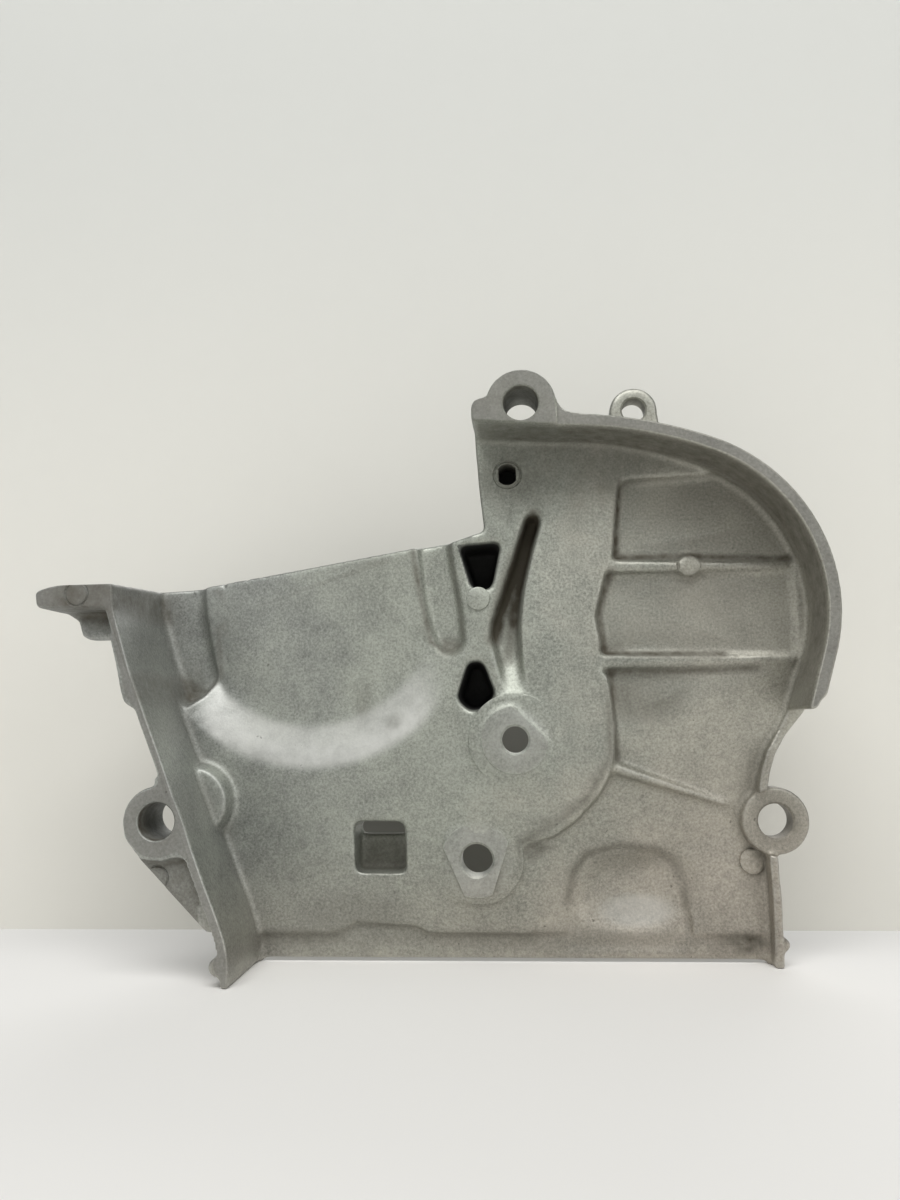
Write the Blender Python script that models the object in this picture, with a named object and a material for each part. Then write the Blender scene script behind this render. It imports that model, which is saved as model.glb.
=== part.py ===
import math

import bmesh
import bpy
from mathutils import Vector

# Timing cover: one die-cast aluminium shell, standing on its lower edge.
# Sizes are millimetres. x runs to the right, z up, and d is the depth behind the plane of the rim,
# which is the direction the die is drawn in. The front, where the rim is, looks toward -Y.
MM = 0.001

# Plate: general depths of its front face behind the rim and its metal thickness
PLATE_T = 4.0
PLATE_DEPTH = 35.0
PLATEAU_DEPTH = 21.0
PLATEAU_RISE = 1.2
RAMP_X = 20.0
RAMP_Z = 70.0
RAMP_LEFT = 95.0
RAMP_DOWN = 62.0
STEP_X = 62.0
FALL_RIGHT = 0.07

# Floor to the right of the plateau: level part, crease line and the slope below it
FLOOR_DEPTH = PLATEAU_DEPTH + 3.5
FLOOR_LOW = PLATE_DEPTH + 0.6
FLOOR_SLOPE = 0.256
CREASE_X = 76.0
CREASE_Z = 82.3
CREASE_ANGLE = 23.8
STEP_DRAFT = 0.25

# Rim walls
WALL_T = 3.1
RIM_W = 4.5
RIM_EDGE = 0.7
ARC_X = 75.15
ARC_Z = 121.5
ARC_R = 55.7
ARC_TOP_R = 143.1
ARC_TURN = 68.9
ARC_END = -16.8
ARC_RUN = 19.4
RIM_RUN = 15.0
ARC_CREST = ARC_Z + ARC_TOP_R + RIM_W - (ARC_TOP_R - ARC_R) * math.sin(math.radians(ARC_TURN))
WALL_TOP_Z = 135.6
WALL_TOP_FALL = 2.4

# Bottom edge, its band and the feet
BOTTOM_Z = 1.1
BAND_H = 10.0
BAND_DEPTH = PLATE_DEPTH + 2.0
FOOT_KNOB_R = 3.1
SIDE_KNOB_R = 2.3

# Low strip along the lower right edge: depth of its rim at its top, waist and foot
STRIP_W = 3.1
STRIP_TOP = PLATEAU_DEPTH + 4.4
STRIP_WAIST = PLATE_DEPTH - 3.4
STRIP_FOOT = PLATE_DEPTH - 4.7

# Screw ears: centre, outer radius, bore and depth range
TOP_EAR = (33.8, ARC_CREST + 3.7)
TOP_EAR_R = 11.9
TOP_EAR_BORE = 12.0
TOP_EAR_L = 20.5
EAR_PROUD = 1.0
LEFT_EAR = (-90.3, 53.2)
LEFT_EAR_R = 11.5
LEFT_EAR_BORE = 12.5
LEFT_EAR_L = 22.4
RIGHT_EAR = (117.8, 48.8)
RIGHT_EAR_R = 11.6
RIGHT_EAR_BORE = 11.8
RIGHT_EAR_DEPTH = STRIP_FOOT + 0.4
RIGHT_EAR_T = 9.1
REAR_EAR = (73.4, ARC_CREST + 5.0)
REAR_EAR_R = 8.4
REAR_EAR_BORE = 8.1
REAR_EAR_DEPTH = 16.0
REAR_EAR_T = 7.0
BORE_EDGE = 0.6

# Lug at the upper left end and its rear flange
LUG_X = -135.35
LUG_H = 8.8
LUG_D = 18.0
LUG_FLANGE_T = 6.0

# Web under the left ear
WEB_DEPTH = 3.0
WEB_T = 9.0

# Half-round boss inside the left wall
WALL_BOSS = (-88.0, 57.0)
WALL_BOSS_R = 14.4
WALL_BOSS_DEPTH = PLATE_DEPTH - 7.5

# Round dish sunk into the sloping plate
DISH_X = -45.8
DISH_Z = 134.0
DISH_R = 49.4
DISH_FLANK = 16.6
DISH_DEPTH = PLATE_DEPTH - 0.8
DISH_TILT = 0.182
DISH_STEPS = 80

# Channels left and right of the dish
LEFT_CHANNEL_DEPTH = PLATE_DEPTH + 11.0
RIGHT_CHANNEL_DEPTH = PLATEAU_DEPTH + 8.2

# Blind pockets in the struts and the curved groove beside them
STRUT_POCKET_DEPTH = PLATEAU_DEPTH + 16.0
GROOVE_DEPTH = PLATEAU_DEPTH + 10.0
CUP_T = 3.2

# Window with its cup
WINDOW_X = -20.0
WINDOW_Z = 40.7
WINDOW_W = 18.3
WINDOW_H = 18.2
WINDOW_DEPTH = PLATE_DEPTH + 6.5
SLOT_H = 5.4

# Blind keyed hole near the upper corner
KEY_HOLE = (28.3, ARC_CREST - 15.6)
KEY_HOLE_R = 3.9
KEY_HOLE_FLAT = 3.2
KEY_HOLE_DEPTH = PLATEAU_DEPTH + 11.0
KEY_RING_R = 4.9

# Bosses with their seats
UPPER_BOSS = (28.9, 78.0)
UPPER_BOSS_R = 16.2
UPPER_BOSS_DEPTH = PLATEAU_DEPTH - 1.1
UPPER_SEAT_R = 11.8
UPPER_SEAT_FLAT = 8.0
UPPER_SEAT_TURN = 45.0
UPPER_BORE = 9.2
LOWER_BOSS = (14.6, 36.8)
LOWER_BOSS_R = 16.3
LOWER_BOSS_DEPTH = (PLATEAU_DEPTH + PLATE_DEPTH) / 2.0 - 2.0
LOWER_SEAT_R = 12.8
LOWER_SEAT_FLAT = 8.2
LOWER_SEAT_TURNS = (203.0, -20.0)
LOWER_BORE = 11.0
SEAT_H = 1.2

# Ribs between the right-hand pockets and the gusset below them
RIB_W = 4.3
RIB_FLARE = 1.1
RIB_TOP = FLOOR_DEPTH - 4.5
RIB_END = FLOOR_DEPTH - 0.3
RIB_1_Z = 137.8
RIB_2_Z = 103.8
GUSSET_W = 4.6
GUSSET_TOP = PLATEAU_DEPTH + 0.8
EJECTOR_R = 4.0
EJECTOR_H = 0.5

# Shallow hollow in the lower right floor
HOLLOW = (69.0, 23.6)
HOLLOW_W = 46.0
HOLLOW_H = 33.0
HOLLOW_D = 4.0

RIM_Y = (EAR_PROUD - LEFT_CHANNEL_DEPTH - PLATE_T) / 2.0
AHEAD = -20.0
BEHIND = LEFT_CHANNEL_DEPTH + 14.0
MIDDLE = (10.0, 100.0)
REACH_X = 132.0
REACH_Z = 112.0
GRID = 8.0
SOFT = 0.15
TOP_STEPS = 10
SIDE_STEPS = 26


# Helpers
def place(x, d, z):
    return Vector((x * MM, (RIM_Y + d) * MM, z * MM))


def value(depth, x, z):
    return depth(x, z) if callable(depth) else depth


def arc(cx, cz, r, start, end, steps):
    points = []
    for i in range(steps + 1):
        a = math.radians(start + (end - start) * i / steps)
        points.append((cx + r * math.cos(a), cz + r * math.sin(a)))
    return points


def circle(centre, r, steps=40):
    return arc(centre[0], centre[1], r, 0.0, 360.0 * (steps - 1) / steps, steps - 1)


def area(outline):
    total = 0.0
    for (x0, z0), (x1, z1) in zip(outline, outline[1:] + outline[:1]):
        total += x0 * z1 - x1 * z0
    return total / 2.0


def corner_shift(before, here, after, distance):
    ax, az = here[0] - before[0], here[1] - before[1]
    bx, bz = after[0] - here[0], after[1] - here[1]
    la = math.hypot(ax, az)
    lb = math.hypot(bx, bz)
    nax, naz = az / la, -ax / la
    nbx, nbz = bz / lb, -bx / lb
    sx, sz = nax + nbx, naz + nbz
    k = distance * 2.0 / max(0.5, sx * sx + sz * sz)
    return here[0] + sx * k, here[1] + sz * k


def grown(outline, distance):
    # closed outline moved outward by a distance, corners mitred
    side = distance if area(outline) > 0.0 else -distance
    n = len(outline)
    moved = []
    for i in range(n):
        moved.append(corner_shift(outline[i - 1], outline[i], outline[(i + 1) % n], side))
    return moved


def shifted(line, distance):
    # open line moved to its right-hand side by a distance
    moved = []
    for i in range(len(line)):
        before = line[i - 1] if i > 0 else (2 * line[0][0] - line[1][0], 2 * line[0][1] - line[1][1])
        if i < len(line) - 1:
            after = line[i + 1]
        else:
            after = (2 * line[i][0] - line[i - 1][0], 2 * line[i][1] - line[i - 1][1])
        moved.append(corner_shift(before, line[i], after, distance))
    return moved


def rounded(outline, radius, steps=3):
    # closed outline with every corner rounded
    points = []
    n = len(outline)
    for i in range(n):
        p, q, s = outline[i - 1], outline[i], outline[(i + 1) % n]
        ax, az = p[0] - q[0], p[1] - q[1]
        bx, bz = s[0] - q[0], s[1] - q[1]
        la, lb = math.hypot(ax, az), math.hypot(bx, bz)
        cut = min(radius, 0.45 * la, 0.45 * lb)
        a = (q[0] + ax / la * cut, q[1] + az / la * cut)
        b = (q[0] + bx / lb * cut, q[1] + bz / lb * cut)
        for k in range(steps + 1):
            t = k / steps
            u = (1 - t) * (1 - t)
            v = 2 * t * (1 - t)
            w = t * t
            points.append((u * a[0] + v * q[0] + w * b[0], u * a[1] + v * q[1] + w * b[1]))
    return points


def ring(outline, depth):
    return [(x, value(depth, x, z), z) for x, z in outline]


def finish(name, bm, home, smooth=False):
    bmesh.ops.triangulate(bm, faces=bm.faces[:])
    bmesh.ops.recalc_face_normals(bm, faces=bm.faces[:])
    mesh = bpy.data.meshes.new(name)
    bm.to_mesh(mesh)
    bm.free()
    mesh.polygons.foreach_set("use_smooth", [smooth] * len(mesh.polygons))
    body = bpy.data.objects.new(name, mesh)
    home.objects.link(body)
    return body


def loft(name, rings, smooth=False):
    # closed body through rings of equal point count
    bm = bmesh.new()
    loops = [[bm.verts.new(place(*p)) for p in points] for points in rings]
    n = len(rings[0])
    for front, back in zip(loops, loops[1:]):
        for i in range(n):
            j = (i + 1) % n
            bm.faces.new((front[i], front[j], back[j], back[i]))
    bm.faces.new(loops[0])
    bm.faces.new(loops[-1][::-1])
    return finish(name, bm, cutters, smooth)


def prism(name, outline, front, back, edge=0.0, draft=0.0):
    # outline drawn out along the pull, with a broken front edge and a draft
    grow = draft * abs(value(back, *outline[0]) - value(front, *outline[0]))
    if edge > 0.0:
        first = ring(grown(outline, -edge), front)
        second = [(x, value(front, x, z) + edge, z) for x, z in outline]
        rings = [first, second, ring(grown(outline, grow), back)]
    else:
        rings = [ring(outline, front), ring(grown(outline, grow), back)]
    return loft(name, rings)


def disc(name, centre, r, front, back, edge=0.0, draft=0.0, steps=40):
    return prism(name, circle(centre, r, steps), front, back, edge, draft)


def bore(name, centre, diameter, front, back):
    # through hole with both mouths broken
    r = diameter / 2.0
    wide = r + BORE_EDGE + 1.0
    rings = [
        ring(circle(centre, wide, 32), front - 1.0),
        ring(circle(centre, r, 32), front + BORE_EDGE),
        ring(circle(centre, r, 32), back - BORE_EDGE),
        ring(circle(centre, wide, 32), back + 1.0),
    ]
    return loft(name, rings)


def block(name, surface, front, centre=MIDDLE, pitch=GRID, turn=0.0):
    # body from a flat front plane back to a curved depth surface, its grid turned about its centre
    columns = math.ceil(REACH_X / pitch)
    rows = math.ceil(REACH_Z / pitch)
    c, s = math.cos(math.radians(turn)), math.sin(math.radians(turn))
    bm = bmesh.new()
    bmesh.ops.create_grid(bm, x_segments=2 * columns, y_segments=2 * rows, size=1.0)
    for v in bm.verts:
        along, across = v.co.x * columns * pitch, v.co.y * rows * pitch
        x = centre[0] + along * c - across * s
        z = centre[1] + along * s + across * c
        v.co = place(x, surface(x, z), z)
    edge_faces = bmesh.ops.extrude_face_region(bm, geom=bm.faces[:])
    for item in edge_faces["geom"]:
        if isinstance(item, bmesh.types.BMVert):
            item.co.y = (RIM_Y + front) * MM
    return finish(name, bm, cutters)


def bar(name, start, end, top_start, top_end, base, width_start, width_end):
    # rib with sloping sides between two cross-sections
    dx, dz = end[0] - start[0], end[1] - start[1]
    length = math.hypot(dx, dz)
    nx, nz = -dz / length, dx / length
    rings = []
    for (x, z), top, width in ((start, top_start, width_start), (end, top_end, width_end)):
        foot = width / 2.0 + RIB_FLARE
        crest = width / 2.0
        low = value(base, x, z)
        rings.append([
            (x - nx * foot, low, z - nz * foot),
            (x - nx * crest, top + 0.6, z - nz * crest),
            (x - nx * (crest - 0.6), top, z - nz * (crest - 0.6)),
            (x + nx * (crest - 0.6), top, z + nz * (crest - 0.6)),
            (x + nx * crest, top + 0.6, z + nz * crest),
            (x + nx * foot, low, z + nz * foot),
        ])
    return loft(name, rings)


def flatted(centre, r, flats, steps=48):
    # round outline cut by straight flats given as (direction in degrees, distance)
    points = []
    for i in range(steps):
        a = 2 * math.pi * i / steps
        reach = r
        for direction, distance in flats:
            c = math.cos(a - math.radians(direction))
            if c > 0.01:
                reach = min(reach, distance / c)
        points.append((centre[0] + reach * math.cos(a), centre[1] + reach * math.sin(a)))
    return points


def combine(body, operation, tool):
    step = body.modifiers.new(tool.name, "BOOLEAN")
    step.operation = operation
    step.solver = "MANIFOLD"
    step.object = tool
    return body


# Depth surfaces of the plate
def plate_front(x, z):
    # the ramp leaves the plateau and reaches the plate in soft bends
    run = math.hypot(max(0.0, RAMP_X - x) / RAMP_LEFT, max(0.0, RAMP_Z - z) / RAMP_DOWN)
    share = math.hypot(run, SOFT) - SOFT * (1.0 - run * 0.9)
    over = max(0.0, min(share, 1.0 + SOFT) - (1.0 - SOFT))
    share = min(share, 1.0 + SOFT) - over * over / (4.0 * SOFT)
    depth = PLATEAU_DEPTH + (PLATE_DEPTH - PLATEAU_DEPTH) * share
    depth -= PLATEAU_RISE * min(1.0, max(0.0, (x - RAMP_X) / (STEP_X - RAMP_X)))
    depth += FALL_RIGHT * max(0.0, x - STEP_X)
    return min(depth, PLATE_DEPTH)


def floor_front(x, z):
    turn = math.radians(CREASE_ANGLE)
    below = (x - CREASE_X) * math.sin(turn) - (z - CREASE_Z) * math.cos(turn)
    share = min(1.0, max(0.0, (x - RAMP_X) / (STEP_X - 4.0 - RAMP_X)))
    level = PLATEAU_DEPTH + (FLOOR_DEPTH - PLATEAU_DEPTH) * share
    return min(level + FLOOR_SLOPE * max(0.0, below), FLOOR_LOW)


def plate_back(x, z):
    return max(plate_front(x, z), floor_front(x, z)) + PLATE_T


def plate_core(x, z):
    return plate_back(x, z) - PLATE_T / 2.0


def dish_floor(x, z):
    # never in front of the plate that it is sunk into
    return max(DISH_DEPTH + DISH_TILT * (DISH_X - x), plate_front(x, z))


def dish_ring(radius, behind):
    # ring of points on the flank, or on its run-out, shifted behind the front face
    points = []
    share = (radius - DISH_R) / DISH_FLANK
    for i in range(DISH_STEPS):
        a = 2.0 * math.pi * i / DISH_STEPS
        c, s = math.cos(a), math.sin(a)
        low = dish_floor(DISH_X + DISH_R * c, DISH_Z)
        lip = plate_front(DISH_X + (DISH_R + DISH_FLANK) * c, DISH_Z + (DISH_R + DISH_FLANK) * s)
        points.append((DISH_X + radius * c, low + (lip - low) * share + behind, DISH_Z + radius * s))
    return points


def strip_rim(x, z):
    if z > 60.0:
        return STRIP_WAIST + (STRIP_TOP - STRIP_WAIST) * (z - 60.0) / 27.0
    share = min(1.0, (60.0 - z) / 28.0)
    return STRIP_WAIST + (STRIP_FOOT - STRIP_WAIST) * share


# Outlines shared by several bodies
def rim_arc(r_add):
    gap = ARC_TOP_R - ARC_R
    turn = math.radians(ARC_TURN)
    top_x = ARC_X - gap * math.cos(turn)
    top_z = ARC_Z - gap * math.sin(turn)
    top = arc(top_x, top_z, ARC_TOP_R + r_add, 89.5, ARC_TURN, TOP_STEPS)
    right = arc(ARC_X, ARC_Z, ARC_R + r_add, ARC_TURN, ARC_END, SIDE_STEPS)
    return top + right[1:]


def arc_end(r_add, reach):
    # point on the straight run that follows the round part of the rim
    a = math.radians(ARC_END)
    x = ARC_X + (ARC_R + r_add) * math.cos(a) + reach * math.sin(a)
    z = ARC_Z + (ARC_R + r_add) * math.sin(a) - reach * math.cos(a)
    return x, z


wall_line = [
    (-65.2, -12.0), (-65.1, 9.0), (-66.4, 15.2), (-69.0, 22.3), (-74.0, 34.4), (-77.7, 44.0),
    (-80.9, 53.4), (-84.7, 62.3), (-88.8, 73.4), (-94.1, 86.7), (-100.4, 103.1),
    (-104.0, 114.9), (-107.0, 125.0), (-107.6, 131.0), (-107.6, 160.0),
]
floor_end = arc_end(0.0, ARC_RUN)
rim_end = arc_end(RIM_W, RIM_RUN)
strip_line = [
    (floor_end[0] - 3.9, floor_end[1] - 7.6), (floor_end[0] - 7.8, floor_end[1] - 14.0),
    (113.0, 66.4), (111.9, 60.8), (111.6, 55.0),
    (114.2, 40.0), (114.9, 22.4), (114.6, -12.0),
]
top_edge = [
    (-91.3, 137.2), (-39.1, 143.7), (5.0, 149.2), (8.6, 149.2), (19.6, 152.0),
    (18.1, 166.4), (16.9, ARC_CREST - 3.1), (16.9, ARC_CREST + 3.6),
    (18.2, ARC_CREST + 5.6), (22.0, ARC_CREST + 6.6),
]
cavity_outline = (
    wall_line
    + [(8.0, 170.0), (8.0, ARC_CREST - 1.9), (17.1, ARC_CREST - 2.0)]
    + rim_arc(0.0)
    + [floor_end]
    + strip_line
)


def outer_outline():
    wall = shifted([p for p in wall_line if -11.0 < p[1] < 132.0], -WALL_T)
    strip = shifted(strip_line, -STRIP_W)
    strip = [p for p in strip if p[1] > 0.5]
    lower_left = (wall[0][0], 0.0)
    outline = [(-63.8, 0.0), lower_left] + wall
    outline += [(wall[-1][0], WALL_TOP_Z), (-107.7, WALL_TOP_Z + 0.9)]
    outline += top_edge + [(33.8, ARC_CREST + 6.4), (48.0, ARC_CREST + 0.4)]
    outline += rim_arc(RIM_W)[1:]
    outline += [rim_end, (rim_end[0] + 0.3, rim_end[1] - 3.0)]
    outline += strip + [(strip[-1][0], 0.0), (113.6, 0.0), (113.6, BOTTOM_Z), (-63.8, BOTTOM_Z)]
    return outline


# Start from an empty file
for old in list(bpy.data.objects):
    bpy.data.objects.remove(old, do_unlink=True)
parts = bpy.data.collections.new("timing_cover")
cutters = bpy.data.collections.new("cutters")
bpy.context.scene.collection.children.link(parts)
bpy.context.scene.collection.children.link(cutters)

# Blank: all metal up to the back surface of the plate
cover = block("timing_cover", plate_back, AHEAD)
cutters.objects.unlink(cover)
parts.objects.link(cover)

# Metal pressed out at the back behind the dish, the channels, the pockets and the window
dish_rings = [dish_ring(DISH_R + DISH_FLANK * 1.35, PLATE_T), dish_ring(DISH_R + 0.6, PLATE_T)]
combine(cover, "UNION", loft("dish_back", dish_rings))

left_channel = [
    (-108.6, 152.0), (-108.2, 127.6), (-105.8, 118.9), (-103.4, 110.0), (-99.6, 99.2),
    (-97.6, 93.6), (-94.0, 90.8), (-87.2, 94.6), (-82.6, 99.6), (-81.6, 103.6),
    (-84.0, 114.0), (-86.2, 126.0), (-88.6, 152.0),
]
left_channel_floor = [
    (-107.4, 152.0), (-106.6, 127.6), (-103.8, 118.9), (-101.2, 110.0), (-97.6, 101.2),
    (-96.0, 97.6), (-93.4, 96.2), (-89.8, 98.0), (-87.4, 101.4), (-87.0, 104.6),
    (-89.6, 114.6), (-92.2, 126.0), (-94.6, 152.0),
]
channel_rings = [
    ring(grown(left_channel, PLATE_T), plate_core),
    ring(grown(left_channel_floor, PLATE_T * 0.8), LEFT_CHANNEL_DEPTH + PLATE_T),
]
combine(cover, "UNION", loft("left_channel_back", channel_rings))

right_channel = [
    (-7.4, 160.0), (-4.8, 131.5), (-2.8, 120.6), (-1.2, 115.2), (0.8, 111.2), (3.6, 108.3),
    (6.9, 107.2), (10.3, 108.5), (12.2, 111.8), (12.0, 120.0), (10.9, 129.0), (9.0, 139.0), (6.2, 160.0),
]
right_channel_floor = [
    (-3.6, 160.0), (-1.0, 131.5), (0.6, 121.6), (1.8, 117.0), (3.2, 113.8), (4.9, 112.0),
    (6.6, 111.6), (8.4, 112.8), (9.0, 115.2), (8.8, 121.0), (7.6, 130.0), (5.6, 140.0), (3.0, 160.0),
]


def right_channel_depth(x, z):
    return RIGHT_CHANNEL_DEPTH - 0.147 * (x - 3.0)


channel_rings = [
    ring(grown(right_channel, PLATE_T * 0.7), plate_core),
    ring(grown(right_channel_floor, PLATE_T * 0.7), lambda x, z: right_channel_depth(x, z) + PLATE_T),
]
combine(cover, "UNION", loft("right_channel_back", channel_rings))

upper_pocket = rounded([(10.2, 147.0), (15.0, 130.8), (21.8, 130.8), (25.6, 147.9)], 2.6)
lower_pocket = rounded([(13.0, 105.6), (18.2, 105.4), (22.6, 93.4), (16.6, 88.2), (12.6, 88.4), (8.6, 92.6)], 2.0)
groove = [
    (34.4, 156.6), (32.6, 151.4), (29.2, 140.7), (24.8, 128.4), (21.2, 118.4), (20.9, 114.2),
    (22.6, 108.0), (24.4, 99.0), (26.4, 95.4), (31.6, 95.2), (32.6, 99.0), (31.8, 108.4),
    (31.5, 117.6), (33.0, 129.9), (36.4, 143.8), (39.6, 154.2), (39.2, 156.6), (37.0, 157.8),
]


def groove_depth(x, z):
    # the lower end runs out in a slope
    return GROOVE_DEPTH - 0.42 * max(0.0, 118.0 - z)


for name, outline, depth in (
    ("upper_pocket", upper_pocket, STRUT_POCKET_DEPTH),
    ("lower_pocket", lower_pocket, STRUT_POCKET_DEPTH),
    ("groove", groove, GROOVE_DEPTH),
):
    tool = loft(name + "_back", [
        ring(grown(outline, CUP_T), plate_core),
        ring(grown(outline, CUP_T - 1.0), depth + CUP_T),
    ])
    combine(cover, "UNION", tool)

window = rounded([
    (WINDOW_X - WINDOW_W / 2, WINDOW_Z - WINDOW_H / 2), (WINDOW_X + WINDOW_W / 2, WINDOW_Z - WINDOW_H / 2),
    (WINDOW_X + WINDOW_W / 2, WINDOW_Z + WINDOW_H / 2), (WINDOW_X - WINDOW_W / 2, WINDOW_Z + WINDOW_H / 2),
], 2.4)
window_rings = [
    ring(grown(window, CUP_T), plate_core),
    ring(grown(window, CUP_T - 0.6), WINDOW_DEPTH + CUP_T),
]
combine(cover, "UNION", loft("window_back", window_rings))
combine(cover, "UNION", disc("key_hole_back", KEY_HOLE, KEY_HOLE_R + CUP_T + 0.4, PLATEAU_DEPTH + 2.0,
                             KEY_HOLE_DEPTH + CUP_T, steps=28))


def bowl(name, grow, behind):
    # squarish scoop: rings shrink toward its floor
    rings = []
    for scale, depth in ((1.18, -0.45), (1.0, 0.0), (0.8, 0.55), (0.56, 0.9), (0.3, 1.0)):
        points = []
        for i in range(36):
            a = 2.0 * math.pi * i / 36
            c, s = math.cos(a), math.sin(a)
            reach = (abs(c) ** 2.8 + abs(s) ** 2.8) ** (-1.0 / 2.8)
            x = HOLLOW[0] + (HOLLOW_W / 2.0 * scale + grow) * reach * c
            z = HOLLOW[1] + (HOLLOW_H / 2.0 * scale + grow) * reach * s
            points.append((x, floor_front(x, z) + HOLLOW_D * depth + behind, z))
        rings.append(points)
    return loft(name, rings)


combine(cover, "UNION", bowl("hollow_back", PLATE_T * 0.3, PLATE_T * 0.9))

# Trim everything to the outer contour
combine(cover, "INTERSECT", prism("contour", outer_outline(), 0.0, BEHIND, RIM_EDGE))

# Screw ears, lug, web and knobs outside the walls
combine(cover, "UNION", disc("top_ear", TOP_EAR, TOP_EAR_R, -EAR_PROUD, TOP_EAR_L - EAR_PROUD, 0.6, 0.01))
ear_corner = [
    (16.9, ARC_CREST - 2.0), (16.9, ARC_CREST + 3.6), (18.2, ARC_CREST + 5.6), (22.0, ARC_CREST + 6.6),
    (33.8, ARC_CREST + 6.4), (TOP_EAR[0] + TOP_EAR_R - 0.1, TOP_EAR[1]), (TOP_EAR[0] + TOP_EAR_R + 0.4, ARC_CREST - 4.5),
]
combine(cover, "UNION", prism("top_ear_corner", ear_corner, -EAR_PROUD, 4.0, 0.5))
fillet_right = [
    (43.0, ARC_CREST - 7.5), (43.0, ARC_CREST + 8.5), (45.6, ARC_CREST + 5.5), (46.4, ARC_CREST + 2.9),
    (48.6, ARC_CREST + 0.9), (52.0, ARC_CREST - 0.1), (52.0, ARC_CREST - 7.5),
]
combine(cover, "UNION", prism("top_ear_root", fillet_right, 0.3, TOP_EAR_L - EAR_PROUD - 1.0))
combine(cover, "UNION", disc("left_ear", LEFT_EAR, LEFT_EAR_R, 0.0, LEFT_EAR_L, 0.6, 0.01))
ear_root = [
    (-82.0, 67.5), (-91.4, 67.5), (-91.0, 64.9), (-96.0, 61.0), (-101.5, 52.0), (-101.0, 48.0),
    (-95.8, 41.2), (-88.4, 40.2), (-84.0, 41.4), (-76.0, 41.0),
]
combine(cover, "UNION", prism("left_ear_root", ear_root, 0.3, LEFT_EAR_L - 0.6))
web_outline = [(-99.0, 46.0), (-97.0, 40.7), (-73.6, 17.0), (-66.0, 17.0), (-78.0, 46.0)]
combine(cover, "UNION", prism("web", web_outline, WEB_DEPTH, WEB_DEPTH + WEB_T, 0.4))
shoulder = [(-100.0, 91.0), (-102.6, 92.8), (-103.9, 96.9), (-105.6, 105.1), (-108.4, 116.0), (-101.0, 116.0), (-93.0, 88.0)]
combine(cover, "UNION", prism("shoulder", shoulder, 0.25, PLATE_DEPTH + 2.5))
lug_top = WALL_TOP_Z - 1.5
lug_outline = [
    (-104.0, lug_top - LUG_H - 0.6), (-106.0, lug_top - LUG_H - 0.6), (-120.0, lug_top - LUG_H + 0.2),
    (LUG_X + 1.6, lug_top - LUG_H + 0.2), (LUG_X + 0.6, lug_top - LUG_H + 1.2), (LUG_X, lug_top - 3.4),
    (LUG_X + 0.9, lug_top - 2.4), (LUG_X + 4.6, lug_top - 1.2), (-124.0, lug_top - 0.2),
    (-114.0, lug_top), (-104.0, lug_top),
]
combine(cover, "UNION", prism("lug", lug_outline, 0.0, LUG_D, 0.6))
flange = [
    (LUG_X + 1.8, 126.4), (-127.6, 122.6), (-126.0, 117.2), (-123.6, 115.8), (-104.0, 116.0),
    (-104.0, lug_top - 0.3), (-124.0, lug_top - 0.6), (LUG_X + 4.0, lug_top - 2.2),
]
combine(cover, "UNION", prism("lug_flange", flange, LUG_D - 0.8, LUG_D + LUG_FLANGE_T, 0.4))
top_trim = [
    [(x, -3.0, z) for x, z in ((-150.0, WALL_TOP_Z - WALL_TOP_FALL), (-98.0, WALL_TOP_Z - WALL_TOP_FALL),
                               (-98.0, 150.0), (-150.0, 150.0))],
    [(x, LEFT_CHANNEL_DEPTH, z) for x, z in ((-150.0, WALL_TOP_Z + 0.9), (-98.0, WALL_TOP_Z + 0.9),
                                             (-98.0, 150.0), (-150.0, 150.0))],
]
combine(cover, "DIFFERENCE", loft("top_trim", top_trim))
combine(cover, "UNION", disc("foot_knob", (-69.0, 6.6), FOOT_KNOB_R, 0.4, PLATE_DEPTH + 2.0, 0.5, steps=20))
rear_ear = [(REAR_EAR[0] + 9.2, REAR_EAR[1] - 12.6), (REAR_EAR[0] + 9.2, REAR_EAR[1] - 8.0)]
rear_ear += arc(REAR_EAR[0], REAR_EAR[1], REAR_EAR_R, -8.0, 188.0, 18)
rear_ear += [(REAR_EAR[0] - 9.2, REAR_EAR[1] - 7.0), (REAR_EAR[0] - 9.2, REAR_EAR[1] - 12.6)]
combine(cover, "UNION", prism("rear_ear", rear_ear, REAR_EAR_DEPTH, REAR_EAR_DEPTH + REAR_EAR_T, 0.5))

# Room in front of the plate: sloping plate face, and the sunk floor right of the plateau edge
room = block("room", plate_front, -18.0)
plateau_edge = [
    (29.0, -8.6), (29.0, 40.0), (33.0, 43.2), (41.7, 45.4), (49.4, 51.0), (57.0, 59.0), (60.4, 64.8),
    (62.6, 72.0), (63.4, 81.4), (62.6, 89.7), (61.4, 99.0), (58.0, 103.0), (59.4, 110.4), (57.8, 120.5),
    (60.6, 131.0), (62.0, 136.4), (64.6, 142.0), (67.2, 165.6), (69.8, 168.7), (99.2, 170.2), (118.0, 178.0),
]
sunk = []
for depth in (-12.0, BEHIND - 10.0):
    line = shifted(plateau_edge, STEP_DRAFT * (depth - 20.0) * 0.5)
    sunk.append(ring(line + [(138.4, 178.0), (138.4, -8.6)], depth))
sunk_room = loft("sunk_room", sunk)
slope_run = (FLOOR_LOW - FLOOR_DEPTH) / FLOOR_SLOPE
sunk_floor = block("sunk_floor", floor_front, -16.0, (CREASE_X, CREASE_Z), slope_run / 5.0, CREASE_ANGLE)
combine(sunk_room, "INTERSECT", sunk_floor)
combine(room, "UNION", sunk_room)
rim_rings = [
    ring(grown(cavity_outline, 0.5), -10.0),
    ring(grown(cavity_outline, 0.5), 0.0),
    ring(cavity_outline, 0.5),
    ring(cavity_outline, BEHIND - 5.0),
]
combine(room, "INTERSECT", loft("inner_contour", rim_rings))
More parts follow.
